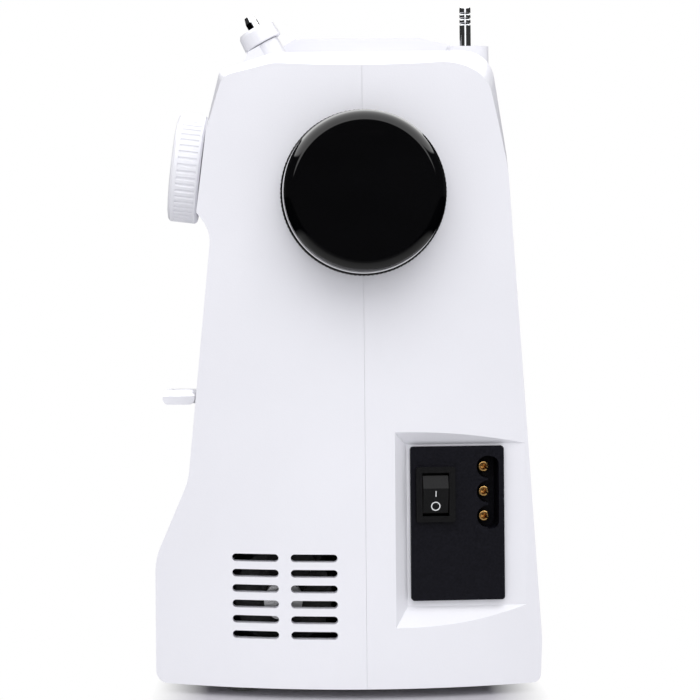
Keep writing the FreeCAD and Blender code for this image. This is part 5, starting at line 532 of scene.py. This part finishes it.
# Power panel: a matte black moulded plate let into the rear shell, with a socket for the lead at its rear
# edge. The rocker switch snaps into it, in smoother black plastic, with two white marks on its lower facet.
PANEL_TURN = math.radians(4.6)
PANEL_OUT = np.array((math.cos(PANEL_TURN), math.sin(PANEL_TURN), 0))
PANEL_SIDE = np.array((-math.sin(PANEL_TURN), math.cos(PANEL_TURN), 0))
PANEL_UP = np.array((0.0, 0.0, 1.0))
PANEL_MIDDLE = np.array((141.2, 41.8, 65.8))
FACET_SIDE, FACET_OUT, FACET_FOOT = -8.6, 2.62, 4.05
FACET_SLOPE = 0.21
FACET_NORMAL = PANEL_OUT - FACET_SLOPE * PANEL_UP
BAR_UP, BAR_LENGTH = 11.4, 3.3
RING_UP, RING_INSIDE, RING_OUTSIDE = 6.7, 1.4, 1.8


def on_panel(out, side, up):
    """A point in millimetres given along the panel's own outward, sideways and upward directions."""
    return PANEL_MIDDLE + out * PANEL_OUT + side * PANEL_SIDE + up * PANEL_UP


def on_facet(up):
    """A point of the rocker's lower facet, which leans out as it rises, at a height on the panel."""
    return on_panel(FACET_OUT + (up - FACET_FOOT) * FACET_SLOPE, FACET_SIDE, up)


panel_black = grained("panel_black", (0.0009, 4), (rgb(0.0025, 0.0025, 0.0048), rgb(0.0058, 0.0058, 0.0095)),
                      (0.4, 0.55), 0.00012, {"Specular IOR Level": 0.12})
dress(panel_black, "power_panel")
switch_black = grained("switch_black", (0.0005, 3), (rgb(0.0025, 0.0025, 0.003), rgb(0.0055, 0.0055, 0.0062)),
                       (0.3, 0.42), 0.00003, {"Specular IOR Level": 0.18})
dress(switch_black, "switch_frame", "switch_rocker")
mark_white = printing_ink("mark_white", 0.0007, (rgb(0.72, 0.73, 0.74), rgb(0.84, 0.85, 0.86)), 0.5)
bar = facing(on_facet(BAR_UP) / 1000, FACET_NORMAL, PANEL_UP)
on_mark = printed("on_mark", [("I", BAR_LENGTH / 1000, bar)], mark_white, "rocker")
ring_profile = [[0, RING_INSIDE], [0.06, RING_INSIDE + 0.02], [0.06, RING_OUTSIDE - 0.02], [0, RING_OUTSIDE]]
off_mark = skin("off_mark", [spun(on_facet(RING_UP), FACET_NORMAL, ring_profile, 48)], mark_white, "rocker")

# Contact pins: turned brass tubes, gold-plated, that stand in the three round bays of the socket. Each end is
# rounded, and a short slit across its wall is painted as a dark line of shade.
CONTACT_SIDE, CONTACT_LOWEST, CONTACT_PITCH = 10.45, 2.45, 9.45
CONTACT_RADIUS, CONTACT_FOOT, CONTACT_END = 2.1, -9, -0.5
lowest_contact = on_panel(0, CONTACT_SIDE, CONTACT_LOWEST) / 1000
half_pitch = CONTACT_PITCH / 2000
gold, place = finish("gold_plate")
lathe = place.noise(0.0004, 2)
right = place.part("Y") - lowest_contact[1]
rise = (place.part("Z") - (lowest_contact[2] - half_pitch)).math("MODULO", 2 * half_pitch) - half_pitch
outwards = (right * 0.85 - rise * 0.5).ramp(0.0008, 0.0009, 0, 1)
# Painted shade: the slit is a dark line in the gold's colour, not a cut.
painted_slit_shade = outwards * (right * 0.5 + rise * 0.85).math("ABSOLUTE").ramp(0.0003, 0.00036, 1, 0)
plate = lathe.tones(rgb(0.52, 0.3, 0.1), rgb(0.7, 0.44, 0.17))
seal(gold, place, {"Base Color": painted_slit_shade.blend(plate, rgb(0.012, 0.008, 0.004)), "Metallic": 1.0,
                   "Roughness": lathe.spread(0.14, 0.28)}, lathe, 0.00003)
contact_profile = [[CONTACT_FOOT, 0], [CONTACT_FOOT, CONTACT_RADIUS], [-1.2, CONTACT_RADIUS]]
contact_profile += rounding((-1.2, CONTACT_RADIUS), (CONTACT_END, CONTACT_RADIUS), (CONTACT_END, 1.6), 5)
contact_profile += [[CONTACT_END, 1.2], [-0.9, 1.05], [-6, 1.0], [-6, 0]]
contact_places = [on_panel(0, CONTACT_SIDE, CONTACT_LOWEST + CONTACT_PITCH * i) for i in range(3)]
contact_grids = [spun(base, PANEL_OUT, contact_profile, 48) for base in contact_places]
contacts = skin("gold_contacts", contact_grids, gold, "machine", crease=40)
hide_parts("inlet_pins")

# Casing screws: flat heads with a cross recess, driven into bosses of the front shell from the rear. They are
# steel with a thin plating of zinc, which is slightly cloudy.
zinc = ground_steel("zinc_plate", (1, 1, 1), 0.58, 0.3)
dress(zinc, "casing_screws")

# Carrying handle: a white bail folded flat on the top, with ribs under the grip, on two blocks screwed to the
# casing. It is moulded in the casing's white with a slightly duller skin.
GRIP_PITCH = 0.004
GRIP_FRONT, GRIP_UNDER = (-0.0135, -0.0125), (0.249, 0.2495)
handle_white, place = finish("handle_white")
grip = wave(place.part("X"), GRIP_PITCH) * place.part("Y").ramp(*GRIP_FRONT, 1, 0)
grain = place.noise(0.0006, 3)
cloud = place.noise(0.05, 2)
seal(handle_white, place, {"Base Color": cloud.tones(rgb(0.81, 0.81, 0.855), rgb(*WHITE)),
                           "Roughness": cloud.spread(0.38, 0.46), "Coat Weight": 0.1, "Coat Roughness": 0.2},
     grip * place.part("Z").ramp(*GRIP_UNDER, 1, 0) * 0.5 + grain * 0.06, 0.0005)
dress(handle_white, "carrying_handle", "handle_pivots")

# Sewing lamp: a small clear moulded lens pressed into the underside of the head, to light the needle. It is
# frosted by fine rings round its middle.
LAMP_MIDDLE = (-0.154, -0.006)
LENS_PITCH = 0.0008
lens, place = finish("frosted_lens")
rings = wave(place.off_axis("X", "Y", LAMP_MIDDLE), LENS_PITCH)
seal(lens, place, {"Base Color": rings.ramp(-1, 1, 0, 1).blend(rgb(0.82, 0.83, 0.8), rgb(0.9, 0.9, 0.87)),
                   "Roughness": rings.ramp(-1, 1, 0.15, 0.3), "Transmission Weight": 0.5, "IOR": 1.49},
     rings, 0.0002)
dress(lens, "sewing_lamp")

# Floor: a plain white sweep. Under and round the machine the camera sees the contact shadow on paper whose
# grey is painted shade, and pure white beyond. Mirrors see a soft bright strip, and all other rays a dull
# white.
FLOOR_REACH = 6
SHADOW_LENGTH, SHADOW_WIDTH, SHADOW_CORNER = 0.146, 0.044, 0.02
floor_white, place = finish("sweep_white")
seen_by_camera = place.node("LightPath", {}, {}, output="Is Camera Ray")
seen_in_mirror = place.node("LightPath", {}, {}, output="Is Glossy Ray")
across = (place.part("X").math("ABSOLUTE") - SHADOW_LENGTH).math("MAXIMUM", 0.0)
beside = (place.part("Y").math("ABSOLUTE") - SHADOW_WIDTH).math("MAXIMUM", 0.0)
away = (across * across + beside * beside).math("SQRT") - SHADOW_CORNER
# Painted shade: the paper in this patch is grey, so that the lit contact shadow on it shows darker.
painted_shade_grey = place.noise(0.4).tones(rgb(0.45, 0.44, 0.475), rgb(0.51, 0.5, 0.53))
paper_with_painted_shade = place.node("BsdfDiffuse", {}, {"Color": painted_shade_grey})
dull = place.node("BsdfDiffuse", {}, {"Color": rgb(0.75, 0.75, 0.76)})
pure = place.node("Emission", {}, {"Color": rgb(1, 1, 1), "Strength": 1.0})
pictured = place.node("MixShader", {}, {0: away.ramp(-0.01, 0.012, 0, 1), 1: paper_with_painted_shade, 2: pure})
strip = place.part("Y").apart(SHAFT[0]).ramp(0.28, 0.36, 1, 0) * place.part("X").ramp(0.25, 1.1, 0.6, 0.12)
mirrored = place.node("Emission", {}, {"Color": strip, "Strength": 1.0})
mixed = place.node("MixShader", {}, {0: seen_by_camera, 1: dull, 2: pictured})
mixed = place.node("MixShader", {}, {0: seen_in_mirror, 1: mixed, 2: mirrored})
place.node("OutputMaterial", {}, {"Surface": mixed})
floor_mesh = bpy.data.meshes.new("sweep")
floor_corners = [(x * FLOOR_REACH, y * FLOOR_REACH, 0) for x, y in ((-1, -1), (1, -1), (1, 1), (-1, 1))]
floor_mesh.from_pydata(floor_corners, [], [(0, 1, 2, 3)])
floor_mesh.materials.append(floor_white)
sweep = bpy.data.objects.new("sweep", floor_mesh)
bpy.context.scene.collection.objects.link(sweep)

# Room: the camera sees plain white behind the machine, and dull surfaces take an even pale light from all
# round. Polished ones mirror a bright ceiling whose edge rises to the sides, with a level band in front.
world = bpy.data.worlds.new("studio")
bpy.context.scene.world = world
world.use_nodes = True
world.node_tree.nodes.clear()
sky = Flow(world.node_tree.nodes.new("ShaderNodeTexCoord").outputs["Generated"])
camera_ray = sky.node("LightPath", {}, {}, output="Is Camera Ray")
glossy_ray = sky.node("LightPath", {}, {}, output="Is Glossy Ray")
clear_ray = sky.node("LightPath", {}, {}, output="Is Transmission Ray")
shine = (glossy_ray + clear_ray).math("MINIMUM", 1.0)
side = sky.part("Y").math("ABSOLUTE")
behind = (0 - sky.part("X")).math("MAXIMUM", 0.0)
ceiling = (sky.part("Z") - side * 0.45 - behind * 0.35).ramp(0.09, 0.12, 0, 1)
band = sky.part("Z").ramp(0.1, 0.112, 0, 1) * side.ramp(0.22, 0.28, 1, 0) * sky.part("X").ramp(0, 0.1, 0, 1)
room = ceiling.math("MAXIMUM", band) * sky.part("X").ramp(-0.38, 0.95, 4.6, 1.7) + 0.05
ambient = shine.blend(rgb(0.84, 0.84, 0.855), room)
backdrop = camera_ray.blend(ambient, rgb(1, 1, 1))
background = sky.node("Background", {}, {"Color": backdrop, "Strength": 1.0})
sky.node("OutputWorld", {}, {"Surface": background})

# Lamps: two large soft boxes, one overhead and one high in front of the handwheel end. Polished surfaces
# don't mirror them, because the room already holds what they mirror.


def soft_box(name, place, aim, width, height, power):
    """A rectangular soft box at a place, turned to face a point."""
    lamp = bpy.data.lights.new(name, "AREA")
    lamp.shape = "RECTANGLE"
    lamp.size, lamp.size_y, lamp.energy = width, height, power
    box = bpy.data.objects.new(name, lamp)
    box.location = place
    box.rotation_euler = (Vector(aim) - Vector(place)).to_track_quat("-Z", "Y").to_euler()
    box.visible_glossy = False
    bpy.context.scene.collection.objects.link(box)


soft_box("overhead", (0.45, 0.0, 1.25), (0.1, 0.0, 0.15), 1.3, 0.9, 1.4)
soft_box("fill", (0.9, 0.0, 0.8), (0.15, 0.0, 0.16), 1.0, 0.8, 3.9)

# Camera: a long lens, shifted off its axis, that looks straight along the machine at the handwheel end. It
# stands a little above the machine's middle and is rolled by half a degree.
CAMERA_PLACE = (0.950, -0.0186, 0.1535)
CAMERA_ROLL = -0.5
lens_data = bpy.data.cameras.new("long_lens")
lens_data.sensor_width = 36
lens_data.lens = 108.6
lens_data.shift_x = 0.0753
lens_data.shift_y = -0.0786
camera = bpy.data.objects.new("camera", lens_data)
stand = Matrix.Translation(CAMERA_PLACE)
for degrees, axis in ((90, "Z"), (90, "X"), (CAMERA_ROLL, "Z")):
    stand = stand @ Matrix.Rotation(math.radians(degrees), 4, axis)
camera.matrix_world = stand
bpy.context.scene.collection.objects.link(camera)
bpy.context.scene.camera = camera
bpy.context.scene.view_settings.view_transform = "Standard"
